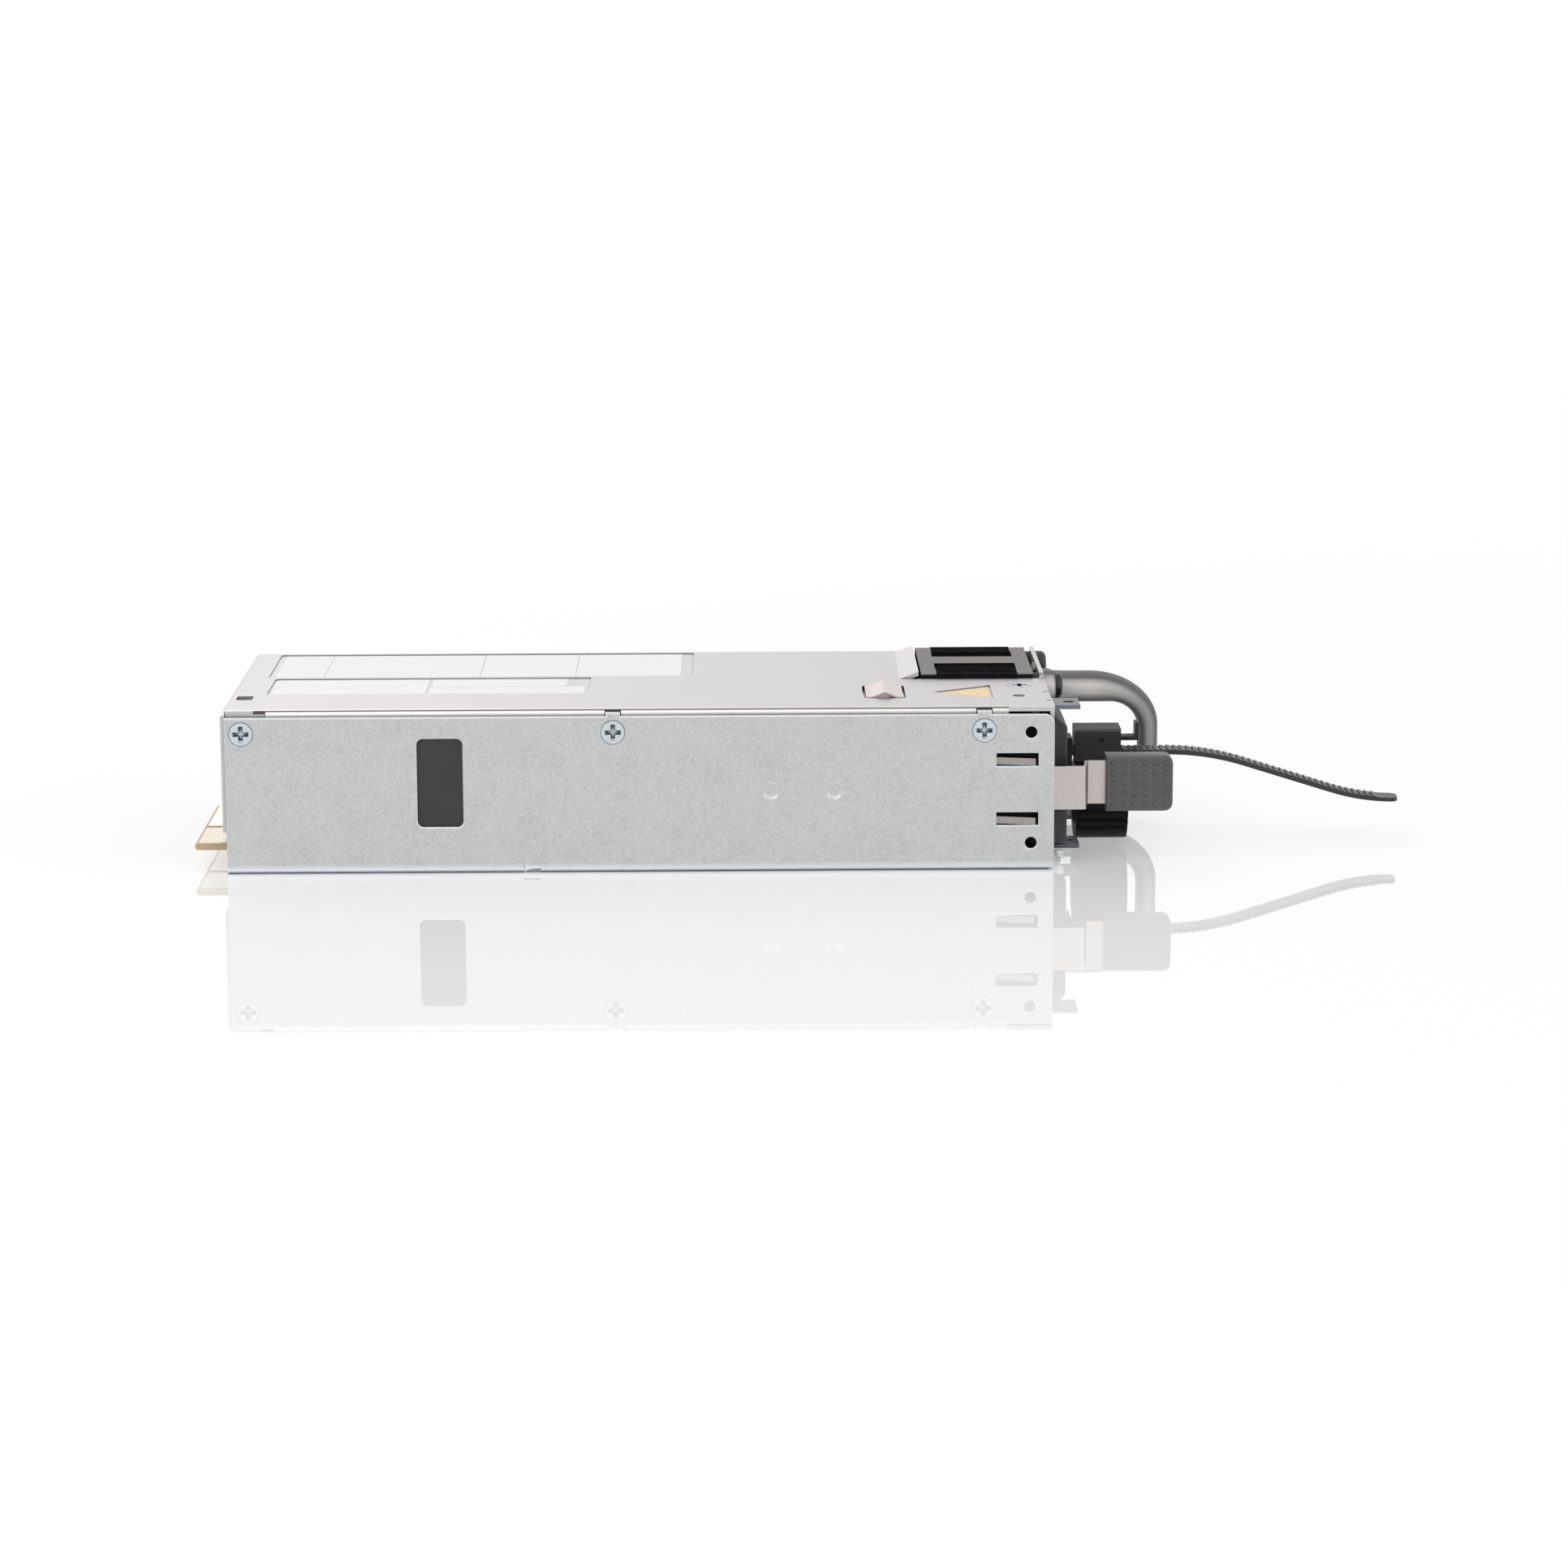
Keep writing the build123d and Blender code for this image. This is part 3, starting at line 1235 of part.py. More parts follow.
with BuildPart() as clamp_jaw:
    extrude(sector(slider_x, ring_jaw_start, ring_seam, (ring_inner, ring_outer)), amount=ring_length)
    with BuildSketch(Plane.YZ.offset(slider_x)):
        for i in range(grip_count):
            angle = radians(grip_first + i * grip_step)
            with Locations((ring_y + ring_outer * cos(angle), ring_z + ring_outer * sin(angle))):
                Circle(grip_radius)
    extrude(amount=ring_length, mode=Mode.SUBTRACT)
    extrude(sector(knuckle_x[0], ring_hinge, ring_jaw_start + web_bite, web_band), amount=knuckle_length)
    with BuildSketch(Plane.YZ.offset(knuckle_x[0])):
        with Locations((hinge_y, hinge_z)):
            Circle(knuckle_radius)
    extrude(amount=knuckle_length)
    with BuildSketch(Plane.YZ.offset(knuckle_x[0])):
        with Locations((hinge_y, hinge_z)):
            Circle(jaw_pin_radius + pin_room)
    extrude(amount=knuckle_length, mode=Mode.SUBTRACT)
clamp_jaw.part.label = "clamp_jaw"
export_step(clamp_jaw.part, "parts/clamp_jaw.step")

with BuildPart() as jaw_pin:
    with BuildSketch(Plane.YZ.offset(slider_x)):
        with Locations((hinge_y, hinge_z)):
            Circle(jaw_pin_radius)
    extrude(amount=slider_length)
jaw_pin.part.label = "jaw_pin"
export_step(jaw_pin.part, "parts/jaw_pin.step")

lever_end = slider_end + lever_reach
pawl_x = lever_x - lever_pawl
with BuildPart() as release_lever:
    slab((pawl_x - lever_thick, lever_end), around(strap_y, lever_width), around(lever_z, lever_thick))
    slab((lever_end - lever_thick, lever_end), around(strap_y, lever_width),
         (lever_z - lever_thick / 2, lever_z + lever_tip))
    with BuildSketch(Plane.XZ.offset(-strap_y - lever_width / 2)):
        with BuildLine():
            Polyline(
                (pawl_x - lever_thick, lever_z),
                (pawl_x - lever_thick / 2, strap_top + tooth_rise + pawl_room),
                (pawl_x, strap_top + tooth_rise + pawl_room),
                (pawl_x + lever_thick, lever_z),
                close=True,
            )
        make_face()
    extrude(amount=lever_width)
    with Locations(Plane((lever_x, strap_y, lever_z), x_dir=(1, 0, 0), z_dir=(0, 1, 0))):
        Cylinder(trunnion_radius, slider_width - slider_edge)
release_lever.part.label = "release_lever"
export_step(release_lever.part, "parts/release_lever.step")

# Bowed ground contact in the cover slot
spring_x = (spring_slot[0] + spring_slot[1]) / 2
spring_y = (spring_slot[2] + spring_slot[3]) / 2
spring_width = spring_slot[3] - spring_slot[2] - 2 * spring_room
spring_low = z_roof - spring_sink
with BuildPart() as ground_spring:
    with BuildSketch(Plane.XZ.offset(-spring_y - spring_width / 2)):
        with BuildLine():
            bow = Spline(
                (spring_x - spring_half, case_height),
                (spring_x, case_height + spring_rise - spring_thick / 2),
                (spring_x + spring_half, case_height),
                tangents=((1, 0), (1, 0)),
            )
            Polyline(bow @ 0, (spring_x - spring_half, spring_low), (spring_x - spring_foot, spring_low))
            Polyline(bow @ 1, (spring_x + spring_half, spring_low), (spring_x + spring_foot, spring_low))
            Line((spring_x - spring_half, spring_low), (spring_x + spring_half, spring_low))
        trace(line_width=spring_thick)
    extrude(amount=spring_width)
ground_spring.part.label = "ground_spring"
export_step(ground_spring.part, "parts/ground_spring.step")

with BuildPart() as status_lens:
    with BuildSketch(Plane.YZ.offset(x_rear + lens_rise)):
        with Locations((lens_y, lens_z)):
            Circle(lens_radius)
    extrude(amount=-lens_length)
    fillet(status_lens.edges().group_by(Axis.X)[-1], lens_rise)
    with BuildSketch(Plane.YZ.offset(x_panel)):
        with Locations((lens_y, lens_z)):
            Circle(lens_flange_radius)
    extrude(amount=-sheet)
status_lens.part.label = "status_lens"
export_step(status_lens.part, "parts/status_lens.step")
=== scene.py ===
import math

import bmesh
import bpy
from mathutils import Matrix, Vector, geometry


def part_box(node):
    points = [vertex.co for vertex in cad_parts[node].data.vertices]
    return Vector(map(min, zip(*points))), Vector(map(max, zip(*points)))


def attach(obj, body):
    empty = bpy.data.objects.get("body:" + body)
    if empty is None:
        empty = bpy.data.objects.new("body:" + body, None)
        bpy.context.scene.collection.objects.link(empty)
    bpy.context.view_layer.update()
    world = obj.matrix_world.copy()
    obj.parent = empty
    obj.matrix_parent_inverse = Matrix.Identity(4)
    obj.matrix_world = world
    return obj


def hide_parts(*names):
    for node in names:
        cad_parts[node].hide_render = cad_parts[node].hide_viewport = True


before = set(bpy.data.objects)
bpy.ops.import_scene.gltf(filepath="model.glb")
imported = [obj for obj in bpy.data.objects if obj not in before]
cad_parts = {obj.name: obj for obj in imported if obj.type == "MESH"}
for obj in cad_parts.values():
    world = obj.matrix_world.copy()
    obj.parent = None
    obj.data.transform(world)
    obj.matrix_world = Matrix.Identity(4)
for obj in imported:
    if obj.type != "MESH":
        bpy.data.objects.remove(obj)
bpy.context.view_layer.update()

# Lengths are metres, in the frame of the solids
MM = 0.001

# Camera, fitted to the case corners, at the photograph's 1932 pixel frame
CAMERA_PLACE = Vector((24.556, -1106.152, 231.505)) * MM
CAMERA_YAW = math.radians(0.54745)
CAMERA_PITCH = math.radians(11.17099)
CAMERA_ROLL = math.radians(-0.22125)
CAMERA_LENS = 103.089
CAMERA_SENSOR = 36.0
CAMERA_REACH = 100.0

# Places on the case
TRAY_LOW, TRAY_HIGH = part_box("chassis_tray")
PAD_LOW, PAD_HIGH = (Vector(corner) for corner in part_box("latch_pad"))
FAN_LOW, FAN_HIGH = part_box("fan_frame")
FAN_X, FAN_Y, FAN_Z = ((low + high) / 2 for low, high in zip(FAN_LOW, FAN_HIGH))
COVER_TOP = 40.0 * MM
RECESS_FLOOR = COVER_TOP - 0.3 * MM
EAR_START = TRAY_HIGH[0] - 6.2 * MM
SLOT_END = TRAY_HIGH[0] - 7.0 * MM
LUG_TOP = 2.9 * MM
TONGUE_ROOT = -102.0 * MM
# Heights over which the painted highlight along the foot of the walls fades out
WALL_FOOT_HIGHLIGHT = (0.9 * MM, 2.4 * MM)

# Repeats on small pieces, and what keeps a coordinate above zero before it is folded back and forth
CONTACT_LINES = 2.0 * MM
TAPE_WRAP = 1.2 * MM
FUSE_CAP = 5.5 * MM
ABOVE_ZERO = 0.1

# Painted highlight on the folds along the cover's sides: place in Y, width of the painted shade
# line beside it, depth in Z, and run in X between laps
COVER_FOLD = -TRAY_LOW[1] - 1.6 * MM
FOLD_SHADE = 0.35 * MM
FOLD_DEPTH = 1.0 * MM
FOLD_MIDDLE = -2.0 * MM
FOLD_HALF = 91.0 * MM

# Painted grey sheen on the fan's top: from its middle to the ends, and half the width of the middle
# bar
FAN_ENDS = 0.36 * (FAN_HIGH[0] - FAN_LOW[0])
FAN_BAR = 0.17 * (FAN_HIGH[1] - FAN_LOW[1])
FAN_TOP_DEPTH = 0.6 * MM

# Labels in the recesses of the cover, each low and high in X and then in Y, in millimetres
RATING_LABEL = (-92.6, 9.4, 5.9, 38.3)
RATING_RULES = (-80.2, -41.1, -17.1)
FRONT_LABEL = (-91.3, -53.2, -18.6, 2.1)
FAR_LABEL = (-52.4, -18.7, -8.0, 2.1)
NEAR_LABEL = (-52.6, -14.0, -18.6, -8.6)
LABEL_ROUND = 0.8 * MM
LABEL_THICK = 0.1 * MM
ROUND_STEPS = 5
RIM_SHARE = 0.3
AMBER_TRIANGLE = ((73.6, -20.5), (85.4, -27.7), (85.4, -13.3))

# Grip domes of the latch pad
DOME_ROWS, DOME_COLUMNS = 5, 6
DOME_PITCH = 2.55 * MM
DOME_RADIUS = 0.6 * MM
DOME_SINK = 0.05 * MM
DOME_ROOT = 0.25 * MM
DOME_FLATTEN = 0.9

# Handle: outline in XZ as in the solid, flat feet, and a section that turns from square to round
HANDLE_Y = FAN_Y - 4.5 * MM
HANDLE_HALF = 6.0 * MM
HANDLE_MIDDLE = COVER_TOP / 2
HANDLE_TOP = COVER_TOP - 1.0 * MM
HANDLE_BACK, HANDLE_OUT = (corner[0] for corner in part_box("handle"))
GRIP = 5.0 * MM
BAR = 7.6 * MM
CORNER_RUN = 17.5 * MM
CORNER_RISE = 13.3 * MM
INNER_ROUND = 7.0 * MM
FOOT = 3.3 * MM
FOOT_HEIGHT = 8.6 * MM
FOOT_CORNER = 1.2 * MM
LOBE = 3.9 * MM
LOBE_STEPS = 40
FAN_HOLE = 16.0 * MM
ROOT_RUN = 8.0 * MM
ROOT_SQUARE = 3.4
BAR_SQUARE = 2.25
BAR_STEPS, CORNER_STEPS, RING_STEPS = 12, 20, 40

# Fan guard: the inner two rings of slots, each with an inner and an outer radius
GUARD_Z = COVER_TOP / 2 + 1.3 * MM
GUARD_RINGS = ((5.5 * MM, 9.3 * MM), (10.8 * MM, 14.6 * MM))
GUARD_SPOKE = 1.8 * MM
GUARD_CUT = 1.5 * MM
SECTOR_STEPS = 16
SMOOTH_BELOW = math.radians(30)
FACE_WEIGHT = 100
WELD = 0.001 * MM

# Tones shared by the sheet metal: painted shade in gaps, painted highlight on upturned rims,
# painted highlight and shade line on the cover's side folds, and the ears' grey
PAINTED_CREVICE_SHADE = (0.150, 0.150, 0.152)
PAINTED_RIM_HIGHLIGHT = (0.93, 0.93, 0.92)
PAINTED_FOLD_HIGHLIGHT = (0.68, 0.68, 0.66)
PAINTED_FOLD_SHADE = (0.11, 0.095, 0.09)
EAR_GREY = (0.17, 0.18, 0.20)

# White table: matt tone for bounced light and as seen, its glow near and far, and its mirror image
FLOOR_MATT = (0.86, 0.86, 0.86)
FLOOR_SEEN = (0.45, 0.45, 0.45)
FLOOR_GLOW_NEAR = 0.555
FLOOR_GLOW_FAR = 0.81
FLOOR_GLOW_RUN = (0.35, 2.2)
# Reach of the painted contact shadow that dims the table's glow near the case
FLOOR_CONTACT = 0.9 * MM
FLOOR_GAP = 0.05 * MM
FLOOR_HALF = 14.0
MIRROR_NEAR = 0.36
MIRROR_FAR = 0.23
MIRROR_RUN = 0.151
MIRROR_ROUGH = 0.02

# Surroundings: light on matt surfaces, and white where they are seen
WORLD_MATT = 0.55
WORLD_SEEN = 1.0

# Soft square lamps: name, place, aim, size and power
LAMPS = (
    ("key", (-0.7, -1.0, 1.3), (0.0, 0.0, 0.02), 1.3, 9.0),
    ("fill", (1.1, -0.7, 0.9), (0.05, 0.0, 0.02), 1.1, 4.0),
    ("top", (-0.5, 0.8, 1.1), (0.0, 0.0, 0.03), 1.4, 6.0),
)


class Look:
    """One material, built up step by step on a Principled shader."""

    def __init__(self, name, **sockets):
        self.material = bpy.data.materials.new(name)
        self.material.use_nodes = True
        self.nodes = self.material.node_tree.nodes
        self.links = self.material.node_tree.links
        self.shader = self.nodes["Principled BSDF"]
        self.place = self.nodes.new("ShaderNodeTexCoord").outputs["Object"]
        for socket, value in sockets.items():
            self.shader.inputs[socket.replace("_", " ")].default_value = value

    def node(self, kind, inputs=None, **settings):
        """A new node with its settings, and with values or links on its inputs."""
        made = self.nodes.new(kind)
        for name, value in settings.items():
            setattr(made, name, value)
        for socket, value in (inputs or {}).items():
            if isinstance(value, bpy.types.NodeSocket):
                self.links.new(value, made.inputs[socket])
            else:
                made.inputs[socket].default_value = value
        return made

    def stretched(self, x, y, z):
        """The place, scaled apart along each axis, for streaks."""
        return self.node("ShaderNodeMapping", {"Vector": self.place, "Scale": (x, y, z)}).outputs[0]

    def noise(self, size, detail=3.0, place=None):
        """Noise from 0 to 1 whose blotches are about this large."""
        inputs = {"Vector": place or self.place, "Scale": 1.0 / size, "Detail": detail}
        return self.node("ShaderNodeTexNoise", inputs).outputs["Fac"]

    def math(self, operation, first, second=0.0):
        """One step of arithmetic."""
        return self.node("ShaderNodeMath", {0: first, 1: second}, operation=operation).outputs[0]

    def remap(self, value, low, high, start=0.3, end=0.7):
        """A value taken from one range to another, held at its ends."""
        inputs = {"Value": value, "From Min": start, "From Max": end, "To Min": low, "To Max": high}
        return self.node("ShaderNodeMapRange", inputs).outputs["Result"]

    def mix(self, factor, first, second):
        """A colour between two others."""
        made = self.node("ShaderNodeMix", {"Factor": factor}, data_type="RGBA")
        for slot, value in (("A_Color", first), ("B_Color", second)):
            socket = next(s for s in made.inputs if s.identifier == slot)
            if isinstance(value, bpy.types.NodeSocket):
                self.links.new(value, socket)
            else:
                socket.default_value = (*value, 1.0)
        return next(s for s in made.outputs if s.identifier == "Result_Color")

    def axis(self, letter):
        """One coordinate of the place."""
        return self.node("ShaderNodeSeparateXYZ", {0: self.place}).outputs[letter]

    def facing(self, letter):
        """How far the surface faces along an axis, either way."""
        normal = self.node("ShaderNodeTexCoord").outputs["Normal"]
        along = self.node("ShaderNodeSeparateXYZ", {0: normal}).outputs[letter]
        return self.math("ABSOLUTE", along)

    def away(self, letter, place):
        """Distance along an axis from a place."""
        return self.math("ABSOLUTE", self.math("SUBTRACT", self.axis(letter), place))

    def beyond(self, value, limit, soft=0.02 * MM):
        """0 below the limit and 1 above it."""
        return self.remap(value, 0.0, 1.0, limit - soft, limit + soft)

    def within(self, value, limit, soft=0.02 * MM):
        """1 below the limit and 0 above it."""
        return self.remap(value, 1.0, 0.0, limit - soft, limit + soft)

    def softened(self, radius):
        """The normal that rounded edges would have, and the plain one."""
        turned = self.node("ShaderNodeBevel", {"Radius": radius}, samples=4).outputs[0]
        return turned, self.node("ShaderNodeNewGeometry").outputs["Normal"]

    def worn_or_shaded_edges(self, radius):
        """0 on the faces and up to 1 along the edges, where a coat wears or, on screw heads, where
        shade is painted.
        """
        turned, plain = self.softened(radius)
        along = self.node("ShaderNodeVectorMath", {0: turned, 1: plain}, operation="DOT_PRODUCT")
        return self.remap(along.outputs["Value"], 1.0, 0.0, 0.75, 0.99)

    def rubbed_edges(self):
        """The worn edges of plastic, which stay part of the way to their own tone."""
        return self.math("MULTIPLY", self.worn_or_shaded_edges(0.25 * MM), 0.6)

    def painted_rim_highlights(self, radius):
        """0 on the faces and up to 1 on edges that turn upward, where a highlight is painted."""
        turned, plain = self.softened(radius)
        tilt = self.node("ShaderNodeVectorMath", {0: turned, 1: plain}, operation="SUBTRACT")
        upward = self.node("ShaderNodeSeparateXYZ", {0: tilt.outputs[0]}).outputs["Z"]
        return self.remap(upward, 0.0, 1.0, 0.08, 0.35)

    def painted_crevice_shade(self, reach):
        """0 in the open and up to 1 deep in gaps and recesses, where shade is painted."""
        hidden = self.node("ShaderNodeAmbientOcclusion", {"Distance": reach}, samples=8)
        return self.remap(hidden.outputs["AO"], 1.0, 0.0, 0.45, 0.85)

    def finish(self, colour, roughness, height=None, depth=0.02 * MM, strength=0.3):
        """Links what varies over the surface to the shader."""
        self.links.new(colour, self.shader.inputs["Base Color"])
        self.links.new(roughness, self.shader.inputs["Roughness"])
        if height is not None:
            inputs = {"Height": height, "Distance": depth, "Strength": strength}
            bump = self.node("ShaderNodeBump", inputs)
            self.links.new(bump.outputs[0], self.shader.inputs["Normal"])
        return self.material


def zinc_sheet():
    """Zinc coated sheet with a fine crystal grain and cut edges that shine, painted shade in gaps
    and recesses, and painted highlights on upturned rims and along the foot of the walls.
    """
    look = Look("zinc_sheet", Metallic=1.0)
    grain = look.noise(0.45 * MM, 4.0)
    cloud = look.noise(9.0 * MM)
    # Painted highlight: paler along the foot of the walls and on the lug, standing in for the
    # bend's highlight
    foot = look.remap(look.axis("Z"), 0.9, 0.0, *WALL_FOOT_HIGHLIGHT)
    colour = look.mix(look.remap(grain, 0.0, 1.0), (0.450, 0.465, 0.458), (0.595, 0.608, 0.600))
    colour = look.mix(look.remap(cloud, 0.0, 0.22), colour, (0.62, 0.635, 0.645))
    colour = look.mix(foot, colour, (0.72, 0.76, 0.79))
    colour = look.mix(look.worn_or_shaded_edges(0.25 * MM), colour, (0.74, 0.75, 0.75))
    # Painted shade: darker in gaps and recesses, kept off the lowest millimetre of the walls
    off_floor = look.beyond(look.axis("Z"), 1.0 * MM, 0.3 * MM)
    colour = look.mix(look.math("MULTIPLY", look.painted_crevice_shade(0.7 * MM), off_floor), colour, PAINTED_CREVICE_SHADE)
    # Painted highlight: pale on upward-turned rims of holes, slots and the wall's top edge
    colour = look.mix(look.painted_rim_highlights(0.8 * MM), colour, PAINTED_RIM_HIGHLIGHT)
    above_lug = look.beyond(look.axis("Z"), LUG_TOP)
    ear = look.math("MULTIPLY", look.beyond(look.axis("X"), EAR_START), above_lug)
    colour = look.mix(ear, colour, EAR_GREY)
    return look.finish(colour, look.remap(grain, 0.40, 0.56), grain, 0.03 * MM, 0.22)


def cover_sheet():
    """The cover's smoother sheet, streaked along its length, with painted highlights on the folds
    at its sides, a painted shade line along their inner side, and painted shade in gaps and
    recesses.
    """
    look = Look("cover_sheet", Metallic=1.0)
    grain = look.noise(0.5 * MM, 4.0)
    streak = look.noise(2.5 * MM, 3.0, look.stretched(0.12, 1.0, 1.0))
    colour = look.mix(look.remap(grain, 0.0, 1.0), (0.486, 0.470, 0.472), (0.575, 0.557, 0.560))
    colour = look.mix(look.remap(streak, 0.0, 0.25), colour, (0.62, 0.60, 0.60))
    colour = look.mix(look.worn_or_shaded_edges(0.2 * MM), colour, (0.72, 0.71, 0.71))
    # Painted shade: darker in gaps and recesses
    colour = look.mix(look.painted_crevice_shade(0.7 * MM), colour, PAINTED_CREVICE_SHADE)
    side = look.math("ABSOLUTE", look.axis("Y"))
    run = look.away("X", FOLD_MIDDLE)
    between_laps = look.remap(run, 1.0, 0.0, FOLD_HALF, FOLD_HALF + 0.1 * MM)
    edge = look.math("MULTIPLY", between_laps, look.beyond(look.axis("Z"), COVER_TOP - FOLD_DEPTH))
    # Painted shade line along the inner side of the side folds, then a painted highlight on the
    # folds
    line = look.math("MULTIPLY", look.beyond(side, COVER_FOLD - FOLD_SHADE, 0.05 * MM), edge)
    fold_highlight = look.math("MULTIPLY", look.beyond(side, COVER_FOLD, 0.1 * MM), edge)
    colour = look.mix(line, colour, PAINTED_FOLD_SHADE)
    colour = look.mix(fold_highlight, colour, PAINTED_FOLD_HIGHLIGHT)
    colour = look.mix(look.beyond(look.axis("X"), EAR_START), colour, EAR_GREY)
    return look.finish(colour, look.remap(grain, 0.34, 0.48), grain, 0.03 * MM, 0.15)


def screw_steel():
    """Blue zinc on turned steel, with painted shade on the rim of the head and in the cross recess.
    """
    look = Look("screw_steel", Metallic=1.0)
    grain = look.noise(0.35 * MM)
    colour = look.mix(look.remap(grain, 0.0, 1.0), (0.52, 0.585, 0.63), (0.66, 0.715, 0.745))
    # Painted shade: dark ring on the rim of the head, for the countersink's shadow
    colour = look.mix(look.worn_or_shaded_edges(0.3 * MM), colour, (0.20, 0.23, 0.25))
    # Painted shade: dark in the cross recess
    colour = look.mix(look.painted_crevice_shade(1.6 * MM), colour, (0.030, 0.033, 0.036))
    return look.finish(colour, look.remap(grain, 0.24, 0.40), grain, 0.02 * MM, 0.2)


def spring_steel():
    """Bright rolled strip with a fine grain, faintly streaked along its length, and painted shade
    on the part within the case.
    """
    look = Look("spring_steel", Metallic=1.0)
    streak = look.noise(0.4 * MM, 3.0, look.stretched(0.05, 1.0, 1.0))
    grain = look.noise(0.3 * MM, 3.0)
    cloud = look.noise(5.0 * MM)
    colour = look.mix(look.remap(grain, 0.0, 1.0), (0.475, 0.434, 0.412), (0.545, 0.503, 0.480))
    colour = look.mix(look.remap(cloud, 0.0, 0.3), colour, (0.61, 0.57, 0.547))
    # Painted shade: darker where the strip lies within the case, short of the slot's end
    shaded_inside = look.remap(look.axis("X"), 0.75, 0.0, SLOT_END - 1.0 * MM, SLOT_END)
    colour = look.mix(shaded_inside, colour, (0.27, 0.26, 0.255))
    colour = look.mix(look.worn_or_shaded_edges(0.1 * MM), colour, (0.76, 0.73, 0.70))
    return look.finish(colour, look.remap(streak, 0.28, 0.36), streak, 0.01 * MM, 0.05)


def contact_strip():
    """The bowed contact: tinned bronze with three faint lines rolled along it."""
    look = Look("contact_strip", Metallic=1.0)
    streak = look.noise(0.4 * MM, 3.0, look.stretched(0.05, 1.0, 1.0))
    lines = look.math("PINGPONG", look.math("ADD", look.axis("Y"), ABOVE_ZERO), CONTACT_LINES)
    line = look.remap(lines, 1.0, 0.0, 0.30 * MM, 0.75 * MM)
    colour = look.mix(look.remap(streak, 0.0, 1.0), (0.63, 0.545, 0.552), (0.71, 0.625, 0.632))
    colour = look.mix(look.math("MULTIPLY", line, 0.6), colour, (0.46, 0.36, 0.35))
    return look.finish(colour, look.remap(streak, 0.26, 0.36), streak, 0.01 * MM, 0.05)


def moulded(name, dark, light, rough, worn, grain_size=0.35 * MM, **sockets):
    """Moulded plastic with a fine eroded grain and paler edges worn by rubbing."""
    look = Look(name, **sockets)
    grain = look.noise(grain_size, 2.0)
    cloud = look.noise(8.0 * MM)
    colour = look.mix(look.remap(cloud, 0.0, 1.0), dark, light)
    colour = look.mix(look.rubbed_edges(), colour, worn)
    return look.finish(colour, look.remap(grain, *rough), grain, 0.03 * MM, 0.25)


def handle_plastic():
    """Satin grey plastic with a pale painted highlight along the sides of its upper and lower bars,
    fading towards the bend, where it is also smoother.
    """
    look = Look("handle_grey", Specular_IOR_Level=0.1)
    grain = look.noise(0.35 * MM, 2.0)
    cloud = look.noise(8.0 * MM)
    colour = look.mix(look.remap(cloud, 0.0, 1.0), (0.120, 0.118, 0.120), (0.145, 0.143, 0.144))
    # Painted highlight: paler on the sides of the bars that face along Y, fading towards the bend
    along = look.remap(look.axis("X"), 1.0, 0.4, HANDLE_OUT - CORNER_RUN, HANDLE_OUT - GRIP)
    painted_highlight = look.math("MULTIPLY", look.remap(look.facing("Y"), 0.0, 1.0, 0.5, 0.95), along)
    colour = look.mix(painted_highlight, colour, (0.76, 0.75, 0.74))
    colour = look.mix(look.rubbed_edges(), colour, (0.45, 0.45, 0.45))
    smoother = look.math("MULTIPLY", painted_highlight, 0.16)
    rough = look.math("SUBTRACT", look.remap(grain, 0.40, 0.50), smoother)
    return look.finish(colour, rough, grain, 0.03 * MM, 0.2)


def fan_plastic():
    """Black plastic, polished, with a grey sheen painted on the ends and middle of its top,
    standing in for glancing reflection.
    """
    look = Look("fan_plastic", Specular_IOR_Level=0.0)
    grain = look.noise(0.5 * MM, 3.0)
    cloud = look.noise(3.0 * MM)
    black = look.mix(look.remap(cloud, 0.0, 1.0), (0.008, 0.008, 0.008), (0.017, 0.016, 0.016))
    # Painted reflection: grey sheen on the ends and middle bar of the top, over black plastic
    painted_sheen = look.mix(look.remap(grain, 0.0, 1.0), (0.250, 0.240, 0.238), (0.320, 0.310, 0.306))
    ends = look.beyond(look.away("X", FAN_X), FAN_ENDS)
    middle = look.within(look.away("Y", FAN_Y), FAN_BAR)
    high = look.beyond(look.axis("Z"), FAN_HIGH[2] - FAN_TOP_DEPTH)
    top = look.math("MULTIPLY", look.remap(look.facing("Z"), 0.0, 1.0, 0.6, 0.8), high)
    share = look.math("MULTIPLY", look.math("MAXIMUM", ends, middle), top)
    colour = look.mix(share, black, painted_sheen)
    colour = look.mix(look.rubbed_edges(), colour, (0.14, 0.135, 0.135))
    return look.finish(colour, look.remap(grain, 0.20, 0.36), grain, 0.03 * MM, 0.2)


def black_film():
    """Smooth insulating film with a few hairline scuffs."""
    look = Look("black_film")
    sheen = look.noise(12.0 * MM)
    scuff = look.noise(1.2 * MM, 2.0, look.stretched(1.0, 1.0, 0.08))
    colour = look.mix(look.remap(sheen, 0.0, 1.0), (0.019, 0.018, 0.019), (0.031, 0.030, 0.031))
    colour = look.mix(look.remap(scuff, 0.0, 0.3, 0.66, 0.8), colour, (0.12, 0.12, 0.12))
    return look.finish(colour, look.remap(sheen, 0.30, 0.42), scuff, 0.01 * MM, 0.1)


